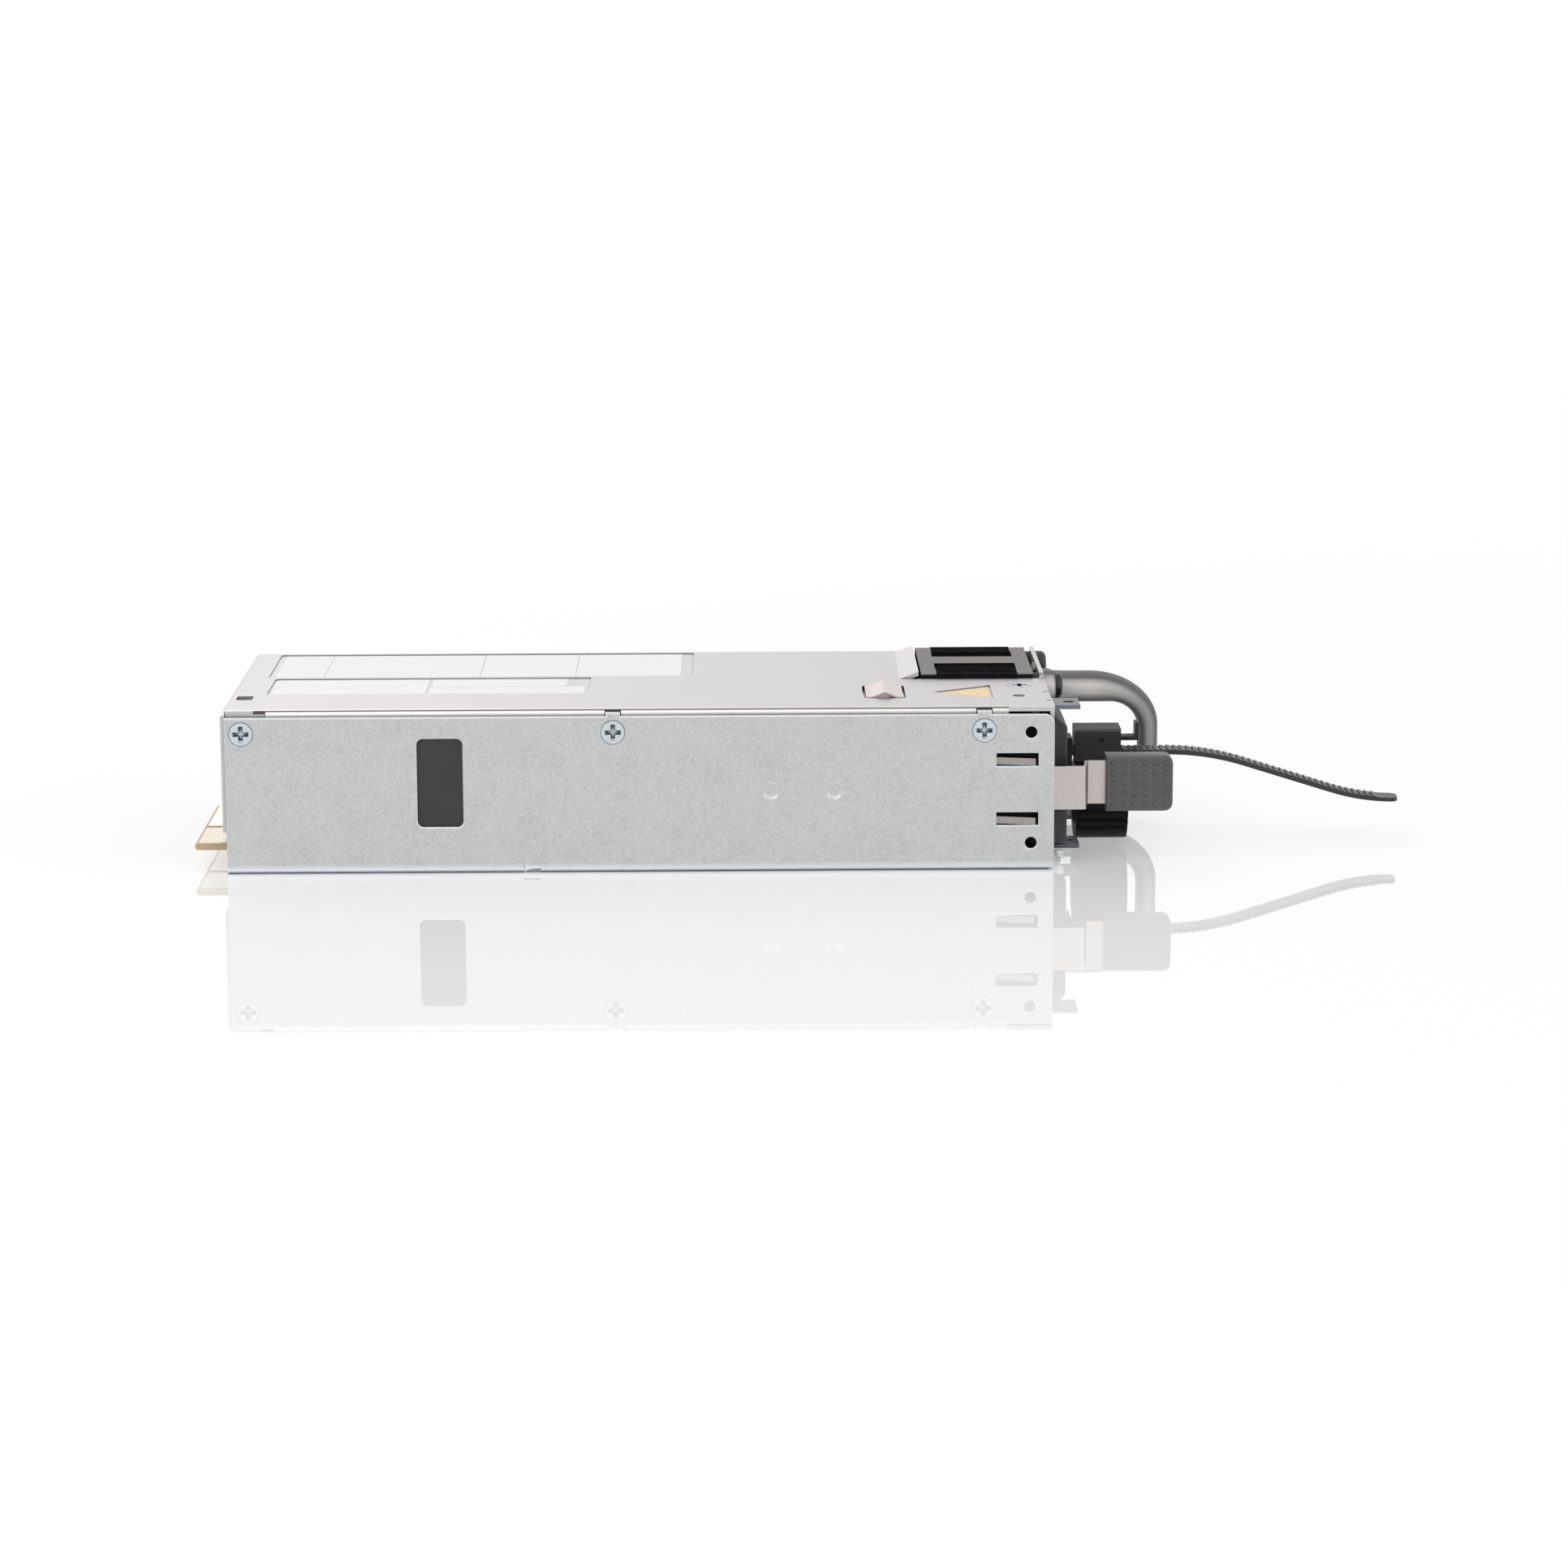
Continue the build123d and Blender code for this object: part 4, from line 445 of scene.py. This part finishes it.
def circuit_board():
    """Green solder mask, bare laminate on the connector tongue and on the cut edges."""
    look = Look("board_green")
    weave = look.noise(0.7 * MM, 2.0)
    tracks = look.noise(3.0 * MM, 1.0, look.stretched(0.4, 1.0, 1.0))
    copper = look.remap(tracks, 0.0, 1.0, 0.47, 0.53)
    mask = look.mix(copper, (0.015, 0.115, 0.055), (0.03, 0.17, 0.085))
    bare = look.mix(look.remap(weave, 0.0, 1.0), (0.50, 0.36, 0.20), (0.62, 0.47, 0.28))
    tongue = look.remap(look.axis("X"), 1.0, 0.0, TONGUE_ROOT - 0.3 * MM, TONGUE_ROOT)
    edge = look.remap(look.facing("Z"), 1.0, 0.0, 0.4, 0.6)
    colour = look.mix(look.math("MAXIMUM", tongue, edge), mask, bare)
    return look.finish(colour, look.remap(weave, 0.30, 0.42), tracks, 0.02 * MM, 0.2)


def metal(name, dark, light, rough, stretch=(1.0, 1.0, 1.0)):
    """Plain bright metal, streaked where it was drawn or extruded."""
    look = Look(name, Metallic=1.0)
    streak = look.noise(0.5 * MM, 3.0, look.stretched(*stretch))
    colour = look.mix(look.remap(streak, 0.0, 1.0), dark, light)
    return look.finish(colour, look.remap(streak, *rough), streak, 0.015 * MM, 0.2)


def can_sleeve():
    """Shrink sleeve on the side of a can, bare metal on its end."""
    look = Look("cans")
    cloud = look.noise(6.0 * MM)
    sleeve = look.mix(look.remap(cloud, 0.0, 1.0), (0.012, 0.014, 0.022), (0.03, 0.034, 0.05))
    top = look.remap(look.facing("Z"), 0.0, 1.0, 0.85, 0.95)
    colour = look.mix(top, sleeve, (0.52, 0.53, 0.54))
    look.links.new(top, look.shader.inputs["Metallic"])
    return look.finish(colour, look.remap(cloud, 0.22, 0.36), cloud, 0.05 * MM, 0.2)


def wound(name, dark, light, node, turns, rough):
    """Enamelled wire wound round a ring, one ridge to a turn, with painted shade in the grooves and
    a painted highlight on the crests.
    """
    low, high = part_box(node)
    look = Look(name, Coat_Weight=0.4)
    centre = [-(a + b) / 2 for a, b in zip(low, high)]
    centred = look.node("ShaderNodeMapping", {"Vector": look.place, "Location": centre}).outputs[0]
    sweep = look.node("ShaderNodeTexGradient", {"Vector": centred}, gradient_type="RADIAL")
    ridge = look.math("PINGPONG", look.math("MULTIPLY", sweep.outputs["Fac"], turns), 0.5)
    tint = look.noise(2.0 * MM)
    # Painted shade in the grooves between turns and painted highlight on their crests
    colour = look.mix(look.remap(ridge, 0.0, 1.0, 0.05, 0.45), dark, light)
    return look.finish(colour, look.remap(tint, *rough), ridge, 0.4 * MM, 0.8)


def winding_tape():
    """Yellow polyester tape, one ridge to each wrap, with painted shade in the groove between
    wraps.
    """
    look = Look("winding_tape")
    wrap = look.math("PINGPONG", look.math("ADD", look.axis("Z"), ABOVE_ZERO), TAPE_WRAP)
    cloud = look.noise(3.0 * MM)
    colour = look.mix(look.remap(cloud, 0.0, 1.0), (0.62, 0.42, 0.05), (0.75, 0.55, 0.10))
    # Painted shade: darker along the groove between wraps
    colour = look.mix(look.remap(wrap, 0.5, 0.0, 0.0, 0.15 * MM), colour, (0.40, 0.25, 0.03))
    return look.finish(colour, look.remap(cloud, 0.28, 0.42), wrap, 0.3 * MM, 0.5)


def fuse_tube():
    """Ceramic tube between two plated end caps."""
    low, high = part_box("fuse")
    look = Look("fuse_tube")
    speck = look.noise(0.6 * MM)
    half = (high[0] - low[0]) / 2
    cap = look.beyond(look.away("X", low[0] + half), half - FUSE_CAP)
    tube = look.mix(look.remap(speck, 0.0, 1.0), (0.70, 0.67, 0.61), (0.78, 0.76, 0.71))
    look.links.new(cap, look.shader.inputs["Metallic"])
    return look.finish(look.mix(cap, tube, (0.62, 0.60, 0.57)), look.remap(speck, 0.3, 0.5), speck)


def lead_sleeve(name, colours):
    """Wire insulation, one colour to each wire."""
    look = Look(name)
    island = look.node("ShaderNodeNewGeometry").outputs["Random Per Island"]
    speck = look.noise(0.8 * MM)
    colour = look.mix(look.remap(speck, 0.0, 0.25), colours[0], (0.02, 0.02, 0.02))
    for i, other in enumerate(colours[1:], 1):
        colour = look.mix(look.beyond(island, i / len(colours), 0.001), colour, other)
    return look.finish(colour, look.remap(speck, 0.38, 0.52), speck)


def label_paper(name, rules=()):
    """Matt white label stock with fine printed cell rules and no words."""
    look = Look(name)
    fibre = look.noise(0.6 * MM)
    cloud = look.noise(14.0 * MM)
    colour = look.mix(look.remap(fibre, 0.0, 1.0), (0.80, 0.80, 0.80), (0.87, 0.87, 0.87))
    colour = look.mix(look.remap(cloud, 0.0, 0.2), colour, (0.76, 0.75, 0.74))
    for place in rules:
        rule = look.remap(look.away("X", place), 0.7, 0.0, 0.10 * MM, 0.18 * MM)
        colour = look.mix(rule, colour, (0.42, 0.42, 0.43))
    return look.finish(colour, look.remap(fibre, 0.42, 0.55), fibre, 0.01 * MM, 0.15)


def amber_foil():
    """Plain amber sticker, slightly mottled."""
    look = Look("amber_foil")
    cloud = look.noise(1.5 * MM)
    colour = look.mix(look.remap(cloud, 0.0, 1.0), (0.82, 0.58, 0.24), (0.88, 0.68, 0.36))
    return look.finish(colour, look.remap(cloud, 0.35, 0.5), cloud, 0.01 * MM, 0.15)


def clear_lens():
    """Clear moulded light pipe with a faint green cast."""
    look = Look("clear_lens", Transmission_Weight=0.6)
    cloud = look.noise(1.0 * MM)
    colour = look.mix(look.remap(cloud, 0.0, 1.0), (0.62, 0.74, 0.64), (0.75, 0.84, 0.76))
    return look.finish(colour, look.remap(cloud, 0.08, 0.16), cloud, 0.01 * MM, 0.1)


# Dark and light tone of the plain black plastics
BLACK = ((0.010, 0.010, 0.011), (0.022, 0.022, 0.024))

# Materials, and the node that each one is on
inlet_black = moulded(
    "inlet_black", (0.020, 0.020, 0.021), (0.034, 0.034, 0.036), (0.40, 0.55), (0.10, 0.10, 0.10))
fan_black = moulded(
    "fan_black", (0.014, 0.013, 0.013), (0.026, 0.024, 0.024), (0.19, 0.30), (0.08, 0.075, 0.075))
retainer_black = moulded("retainer_black", *BLACK, (0.32, 0.46), (0.08, 0.08, 0.085))
jaw_black = moulded(
    "jaw_black", (0.004, 0.004, 0.004), (0.009, 0.009, 0.010), (0.36, 0.48), (0.030, 0.030, 0.032),
    Specular_IOR_Level=0.1)
slider_black = moulded(
    "slider_black", (0.020, 0.020, 0.023), (0.030, 0.030, 0.034), (0.36, 0.50), (0.09, 0.09, 0.095))
epoxy_black = moulded("epoxy_black", *BLACK, (0.45, 0.6), (0.06, 0.06, 0.06))
handle_grey = handle_plastic()
pad_grey = moulded(
    "pad_grey", (0.078, 0.076, 0.077), (0.096, 0.094, 0.095), (0.34, 0.46), (0.22, 0.22, 0.22))
rubber = moulded("rubber", *BLACK, (0.65, 0.8), (0.05, 0.05, 0.05), 0.2 * MM)
cover_steel = cover_sheet()
tray_steel = zinc_sheet()
bolt_steel = screw_steel()
strip_steel = spring_steel()
board_green = circuit_board()
gold = metal("gold", (0.92, 0.85, 0.73), (0.97, 0.93, 0.85), (0.20, 0.32), (0.2, 1.0, 1.0))
cans = can_sleeve()
extruded = metal("extruded", (0.56, 0.57, 0.58), (0.70, 0.71, 0.72), (0.30, 0.45), (1.0, 1.0, 0.08))
ferrite = moulded(
    "ferrite", (0.020, 0.020, 0.022), (0.045, 0.045, 0.048), (0.55, 0.7), (0.09, 0.09, 0.09))
potting_box = moulded(
    "potting_box", (0.36, 0.37, 0.39), (0.42, 0.43, 0.45), (0.25, 0.38), (0.55, 0.55, 0.56))
pfc_wire = wound(
    "pfc_wire", (0.20, 0.055, 0.015), (0.62, 0.24, 0.08), "pfc_choke", 40, (0.22, 0.34))
emi_wire = wound(
    "emi_wire", (0.18, 0.05, 0.015), (0.56, 0.21, 0.07), "emi_choke", 30, (0.22, 0.34))
stator_wire = wound(
    "stator_wire", (0.16, 0.05, 0.02), (0.48, 0.20, 0.08), "fan_stator", 24, (0.3, 0.42))
brass = metal("turned_brass", (0.55, 0.40, 0.16), (0.68, 0.52, 0.24), (0.25, 0.38))
nickel = metal("nickel", (0.60, 0.58, 0.54), (0.72, 0.70, 0.66), (0.16, 0.28), (0.1, 1.0, 1.0))
ground_steel = metal(
    "ground_steel", (0.55, 0.56, 0.57), (0.68, 0.69, 0.70), (0.14, 0.22), (0.1, 1.0, 1.0))
black_zinc = metal("black_zinc", (0.035, 0.033, 0.032), (0.075, 0.070, 0.068), (0.22, 0.34))
mains_sleeves = lead_sleeve(
    "mains_sleeves", ((0.16, 0.07, 0.03), (0.03, 0.09, 0.30), (0.10, 0.30, 0.06)))
fan_sleeve = lead_sleeve("fan_sleeve", ((0.35, 0.02, 0.02),))

materials = {
    "chassis_tray": tray_steel,
    "top_cover": cover_steel,
    "cover_screws": bolt_steel,
    "insulator_film": black_film(),
    "main_board": board_green,
    "edge_contacts": gold,
    "board_standoffs": brass,
    "board_screws": bolt_steel,
    "bulk_capacitors": cans,
    "transformer_core": ferrite,
    "transformer_winding": winding_tape(),
    "pfc_choke": pfc_wire,
    "emi_choke": emi_wire,
    "film_capacitor": potting_box,
    "fuse": fuse_tube(),
    "primary_heatsink": extruded,
    "secondary_heatsink": extruded,
    "power_transistors": epoxy_black,
    "output_capacitors": cans,
    "control_board": board_green,
    "inlet_body": inlet_black,
    "inlet_pins": nickel,
    "mains_leads": mains_sleeves,
    "fan_frame": fan_plastic(),
    "fan_stator": stator_wire,
    "fan_rotor": fan_black,
    "fan_shaft": ground_steel,
    "fan_grommets": rubber,
    "fan_rivets": retainer_black,
    "fan_lead": fan_sleeve,
    "handle": handle_grey,
    "handle_screws": black_zinc,
    "latch_root": strip_steel,
    "latch_spring": strip_steel,
    "latch_pad": pad_grey,
    "retainer_strap": retainer_black,
    "retainer_slider": slider_black,
    "clamp_jaw": jaw_black,
    "jaw_pin": bolt_steel,
    "release_lever": retainer_black,
    "ground_spring": contact_strip(),
    "status_lens": clear_lens(),
}

for name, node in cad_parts.items():
    node.data.materials.clear()
    node.data.materials.append(materials[name])


def add_piece(name, mesh, material, body):
    """Turns a bmesh into a piece that rides on a body."""
    data = bpy.data.meshes.new(name)
    mesh.to_mesh(data)
    mesh.free()
    data.materials.append(material)
    piece = bpy.data.objects.new(name, data)
    bpy.context.scene.collection.objects.link(piece)
    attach(piece, body)
    return piece


def rounded(low_x, high_x, low_y, high_y, radius):
    """Outline of a rectangle with round corners."""
    points = []
    corners = ((high_x, high_y, 0), (low_x, high_y, 90), (low_x, low_y, 180), (high_x, low_y, 270))
    for x, y, start in corners:
        middle = Vector((x - math.copysign(radius, x - (low_x + high_x) / 2),
                         y - math.copysign(radius, y - (low_y + high_y) / 2)))
        for i in range(ROUND_STEPS + 1):
            angle = math.radians(start + 90 * i / ROUND_STEPS)
            points.append(middle + radius * Vector((math.cos(angle), math.sin(angle))))
    return points


def prism(mesh, outline, push):
    """Adds the prism that an outline sweeps, and gives the corners of its far end."""
    face = mesh.faces.new([mesh.verts.new(point) for point in outline])
    grown = bmesh.ops.extrude_face_region(mesh, geom=[face])
    far = [v for v in grown["geom"] if isinstance(v, bmesh.types.BMVert)]
    bmesh.ops.translate(mesh, verts=far, vec=push)
    return far


def plate(outline, level, thick, segments=2):
    """A flat plate with a softened rim, lying at a level."""
    mesh = bmesh.new()
    top = prism(mesh, [(p[0], p[1], level) for p in outline], (0, 0, thick))
    rim = [e for e in mesh.edges if all(v in top for v in e.verts)]
    bmesh.ops.bevel(
        mesh, geom=rim, offset=RIM_SHARE * thick, segments=segments, affect="EDGES", profile=0.5)
    bmesh.ops.recalc_face_normals(mesh, faces=mesh.faces)
    return mesh


def sticker(name, outline, material):
    """A thin sheet stuck in a recess of the cover."""
    add_piece(name, plate(outline, RECESS_FLOOR, LABEL_THICK), material, "case")


# Blank labels
rating_paper = label_paper("rating_paper", [x * MM for x in RATING_RULES])
plain_paper = label_paper("plain_paper")
labels = {
    "rating_label": (RATING_LABEL, rating_paper),
    "front_label": (FRONT_LABEL, plain_paper),
    "far_label": (FAR_LABEL, plain_paper),
    "near_label": (NEAR_LABEL, plain_paper),
}
for name, (limits, paper) in labels.items():
    sticker(name, rounded(*[v * MM for v in limits], LABEL_ROUND), paper)

# Plain amber sticker in the triangular recess
sticker("amber_sticker", [Vector(p) * MM for p in AMBER_TRIANGLE], amber_foil())


def pad_bumps():
    """Rows of small domes that give the thumb a grip on the latch pad."""
    mesh = bmesh.new()
    middle = (PAD_LOW + PAD_HIGH) / 2
    flatten = Matrix.Diagonal((1, DOME_FLATTEN, 1, 1))
    for row in range(DOME_ROWS):
        for column in range(DOME_COLUMNS):
            x = middle[0] + (column - (DOME_COLUMNS - 1) / 2) * DOME_PITCH
            z = middle[2] + (row - (DOME_ROWS - 1) / 2) * DOME_PITCH
            place = Matrix.Translation((x, PAD_LOW[1] + DOME_SINK, z)) @ flatten
            bmesh.ops.create_icosphere(mesh, subdivisions=3, radius=DOME_RADIUS, matrix=place)
    buried = [v for v in mesh.verts if v.co[1] > PAD_LOW[1] + DOME_ROOT]
    bmesh.ops.delete(mesh, geom=buried, context="VERTS")
    for face in mesh.faces:
        face.smooth = True
    add_piece("pad_bumps", mesh, pad_grey, "latch")


pad_bumps()


def ring_sector(inner, outer, start):
    """Outline of a quarter of a ring slot, with straight sides along two spokes."""
    points = []
    for radius, turn in ((outer, 1), (inner, -1)):
        lead = math.asin(GUARD_SPOKE / 2 / radius)
        step = (math.pi / 2 - 2 * lead) / SECTOR_STEPS
        angles = [start + lead + step * i for i in range(SECTOR_STEPS + 1)]
        points += [radius * Vector((math.cos(a), math.sin(a))) for a in angles[::turn]]
    return points


def settle(piece):
    """Works the modifiers of a piece into its mesh."""
    view = bpy.context.evaluated_depsgraph_get()
    before = piece.data
    piece.data = bpy.data.meshes.new_from_object(
        piece.evaluated_get(view), preserve_all_data_layers=True, depsgraph=view)
    piece.modifiers.clear()
    bpy.data.meshes.remove(before)


def guard_cutter():
    """The prisms that cut the inner rings of slots."""
    mesh = bmesh.new()
    back = HANDLE_BACK - GUARD_CUT
    for inner, outer in GUARD_RINGS:
        for quarter in range(4):
            sector = ring_sector(inner, outer, math.radians(45 + 90 * quarter))
            outline = [(back, FAN_Y + p[0], GUARD_Z + p[1]) for p in sector]
            prism(mesh, outline, (2 * GUARD_CUT, 0, 0))
    bmesh.ops.recalc_face_normals(mesh, faces=mesh.faces)
    data = bpy.data.meshes.new("guard_cutter")
    mesh.to_mesh(data)
    mesh.free()
    cutter = bpy.data.objects.new("guard_cutter", data)
    bpy.context.scene.collection.objects.link(cutter)
    return cutter


def open_guard():
    """The tray with the inner rings of its fan guard cut open too, and shaded flat on its walls."""
    mesh = bmesh.new()
    mesh.from_mesh(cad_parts["chassis_tray"].data)
    bmesh.ops.remove_doubles(mesh, verts=mesh.verts, dist=WELD)
    piece = add_piece("guarded_tray", mesh, tray_steel, "case")
    cutter = guard_cutter()
    cut = piece.modifiers.new("rings", "BOOLEAN")
    cut.operation = "DIFFERENCE"
    cut.solver = "EXACT"
    cut.object = cutter
    settle(piece)
    cutter_mesh = cutter.data
    bpy.data.objects.remove(cutter)
    bpy.data.meshes.remove(cutter_mesh)
    piece.data.shade_smooth()
    piece.data.set_sharp_from_angle(angle=SMOOTH_BELOW)
    even = piece.modifiers.new("even", "WEIGHTED_NORMAL")
    even.mode = "FACE_AREA"
    even.weight = FACE_WEIGHT
    even.keep_sharp = True
    settle(piece)
    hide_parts("chassis_tray")


open_guard()


def handle_stations():
    """Outer and inner points of the loop in the XZ plane, from its upper foot to its lower one."""
    turn = Vector((HANDLE_OUT - CORNER_RUN, HANDLE_TOP - CORNER_RISE))
    inner_turn = Vector((HANDLE_OUT - GRIP - INNER_ROUND, HANDLE_TOP - BAR - INNER_ROUND))
    start = Vector((HANDLE_BACK, HANDLE_TOP))
    inner_start = Vector((HANDLE_BACK, HANDLE_TOP - BAR))
    end = Vector((turn[0], HANDLE_TOP))
    inner_end = Vector((inner_turn[0], HANDLE_TOP - BAR))
    pairs = []
    for i in range(BAR_STEPS):
        share = i / BAR_STEPS
        pairs.append((start.lerp(end, share), inner_start.lerp(inner_end, share)))
    for i in range(CORNER_STEPS + 1):
        angle = math.radians(90 - 90 * i / CORNER_STEPS)
        along = Vector((math.cos(angle), math.sin(angle)))
        outer = turn + along * Vector((CORNER_RUN, CORNER_RISE))
        pairs.append((outer, inner_turn + along * INNER_ROUND))
    mirrored = []
    for pair in reversed(pairs):
        mirrored.append([Vector((p[0], 2 * HANDLE_MIDDLE - p[1])) for p in pair])
    return pairs + mirrored


def handle_foot(level):
    """A flat foot with a lobe round its screw: 1 for the upper one and -1 for the lower."""
    edge = HANDLE_MIDDLE + level * (HANDLE_TOP - HANDLE_MIDDLE)
    low, high = sorted((edge, edge - level * FOOT_HEIGHT))
    points = rounded(HANDLE_Y - HANDLE_HALF, HANDLE_Y + HANDLE_HALF, low, high, FOOT_CORNER)
    hole = Vector((FAN_Y - FAN_HOLE, FAN_Z + level * FAN_HOLE))
    for i in range(LOBE_STEPS):
        angle = math.tau * i / LOBE_STEPS
        points.append(hole + LOBE * Vector((math.cos(angle), math.sin(angle))))
    outline = [points[i] for i in geometry.convex_hull_2d(points)]
    mesh = plate(outline, 0.0, FOOT, 3)
    stand = Matrix(((0, 0, 1, HANDLE_BACK), (1, 0, 0, 0), (0, 1, 0, 0), (0, 0, 0, 1)))
    bmesh.ops.transform(mesh, matrix=stand, verts=mesh.verts)
    return mesh


def handle_loop():
    """The loop handle with full round bars on two flat feet."""
    mesh = bmesh.new()
    rings = []
    for outer, inner in handle_stations():
        centre, half = (outer + inner) / 2, (outer - inner) / 2
        out = min(1.0, (centre[0] - HANDLE_BACK) / ROOT_RUN)
        power = 2.0 / (ROOT_SQUARE + (BAR_SQUARE - ROOT_SQUARE) * out)
        ring = []
        for i in range(RING_STEPS):
            angle = math.tau * i / RING_STEPS
            lift = math.copysign(abs(math.cos(angle)) ** power, math.cos(angle))
            side = math.copysign(abs(math.sin(angle)) ** power, math.sin(angle))
            point = centre + half * lift
            ring.append(mesh.verts.new((point[0], HANDLE_Y + HANDLE_HALF * side, point[1])))
        rings.append(ring)
    for before, after in zip(rings, rings[1:]):
        for i in range(RING_STEPS):
            j = (i + 1) % RING_STEPS
            mesh.faces.new((before[i], before[j], after[j], after[i]))
    mesh.faces.new(rings[0])
    mesh.faces.new(rings[-1])
    bmesh.ops.recalc_face_normals(mesh, faces=mesh.faces)
    for face in mesh.faces:
        face.smooth = len(face.verts) == 4
    for level in (1, -1):
        foot = handle_foot(level)
        joined = bpy.data.meshes.new("foot")
        foot.to_mesh(joined)
        foot.free()
        mesh.from_mesh(joined)
        bpy.data.meshes.remove(joined)
    piece = add_piece("handle_loop", mesh, handle_grey, "case")
    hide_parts("handle")


handle_loop()


def add_camera():
    """Camera at the photograph's viewpoint."""
    ahead = Vector((
        math.sin(CAMERA_YAW) * math.cos(CAMERA_PITCH),
        math.cos(CAMERA_YAW) * math.cos(CAMERA_PITCH),
        -math.sin(CAMERA_PITCH),
    ))
    level = ahead.cross(Vector((0, 0, 1))).normalized()
    upright = level.cross(ahead)
    right = level * math.cos(CAMERA_ROLL) + upright * math.sin(CAMERA_ROLL)
    up = upright * math.cos(CAMERA_ROLL) - level * math.sin(CAMERA_ROLL)
    data = bpy.data.cameras.new("camera")
    data.lens = CAMERA_LENS
    data.sensor_width = CAMERA_SENSOR
    data.clip_end = CAMERA_REACH
    camera = bpy.data.objects.new("camera", data)
    turn = Matrix((right, up, -ahead)).transposed().to_4x4()
    camera.matrix_world = Matrix.Translation(CAMERA_PLACE) @ turn
    bpy.context.scene.collection.objects.link(camera)
    bpy.context.scene.camera = camera


def seen_directly(tree):
    """1 for rays that show the background: from the camera, off gloss or through glass."""
    path = tree.nodes.new("ShaderNodeLightPath")
    value = path.outputs["Is Camera Ray"]
    for other in ("Is Glossy Ray", "Is Transmission Ray"):
        join = tree.nodes.new("ShaderNodeMath")
        join.operation = "MAXIMUM"
        tree.links.new(value, join.inputs[0])
        tree.links.new(path.outputs[other], join.inputs[1])
        value = join.outputs[0]
    return value


def add_world():
    """White surroundings, with softer light on matt surfaces."""
    world = bpy.data.worlds.new("studio")
    bpy.context.scene.world = world
    world.use_nodes = True
    tree = world.node_tree
    level = tree.nodes.new("ShaderNodeMapRange")
    level.inputs["To Min"].default_value = WORLD_MATT
    level.inputs["To Max"].default_value = WORLD_SEEN
    tree.links.new(seen_directly(tree), level.inputs["Value"])
    background = tree.nodes["Background"]
    background.inputs["Color"].default_value = (1.0, 1.0, 1.0, 1.0)
    tree.links.new(level.outputs["Result"], background.inputs["Strength"])


def floor_material():
    """Polished white table whose mirror image fades with the distance from the case, and whose glow
    is dimmed close to the case as a painted contact shadow.
    """
    look = Look("white_table")
    tree = look.material.node_tree
    direct = seen_directly(tree)
    tone = look.mix(direct, FLOOR_MATT, FLOOR_SEEN)
    matt = look.node("ShaderNodeBsdfDiffuse", {"Color": tone})
    away = look.node("ShaderNodeVectorMath", {0: look.place}, operation="LENGTH").outputs["Value"]
    # Painted contact shadow: the glow is dimmed where the case is close
    painted_contact_shadow = look.node("ShaderNodeAmbientOcclusion", {"Distance": FLOOR_CONTACT}, samples=8)
    level = look.remap(away, FLOOR_GLOW_NEAR, FLOOR_GLOW_FAR, *FLOOR_GLOW_RUN)
    level = look.math("MULTIPLY", level, painted_contact_shadow.outputs["AO"])
    glow = look.node("ShaderNodeEmission", {"Strength": look.math("MULTIPLY", level, direct)})
    bright = look.node("ShaderNodeAddShader", {0: matt.outputs[0], 1: glow.outputs[0]})
    white = (1.0, 1.0, 1.0, 1.0)
    gloss = look.node("ShaderNodeBsdfGlossy", {"Color": white, "Roughness": MIRROR_ROUGH})
    near_edge = TRAY_LOW[1]
    share = look.remap(look.axis("Y"), MIRROR_FAR, MIRROR_NEAR, near_edge - MIRROR_RUN, near_edge)
    table = look.node("ShaderNodeMixShader", {0: share, 1: bright.outputs[0], 2: gloss.outputs[0]})
    tree.links.new(table.outputs[0], tree.nodes["Material Output"].inputs["Surface"])
    tree.nodes.remove(look.shader)
    return look.material


def add_floor():
    """A wide white table just under the case."""
    mesh = bmesh.new()
    bmesh.ops.create_grid(mesh, x_segments=8, y_segments=8, size=FLOOR_HALF)
    bmesh.ops.translate(mesh, verts=mesh.verts, vec=(0, 0, TRAY_LOW[2] - FLOOR_GAP))
    data = bpy.data.meshes.new("floor")
    mesh.to_mesh(data)
    mesh.free()
    data.materials.append(floor_material())
    floor = bpy.data.objects.new("floor", data)
    bpy.context.scene.collection.objects.link(floor)


def add_lamp(name, place, aim, size, power):
    """A soft square lamp that points at a place."""
    data = bpy.data.lights.new(name, "AREA")
    data.size = size
    data.energy = power
    lamp = bpy.data.objects.new(name, data)
    lamp.location = place
    lamp.rotation_mode = "QUATERNION"
    lamp.rotation_quaternion = (Vector(aim) - Vector(place)).to_track_quat("-Z", "Y")
    bpy.context.scene.collection.objects.link(lamp)


add_camera()
add_world()
add_floor()
for lamp in LAMPS:
    add_lamp(*lamp)
bpy.context.scene.view_settings.view_transform = "Standard"
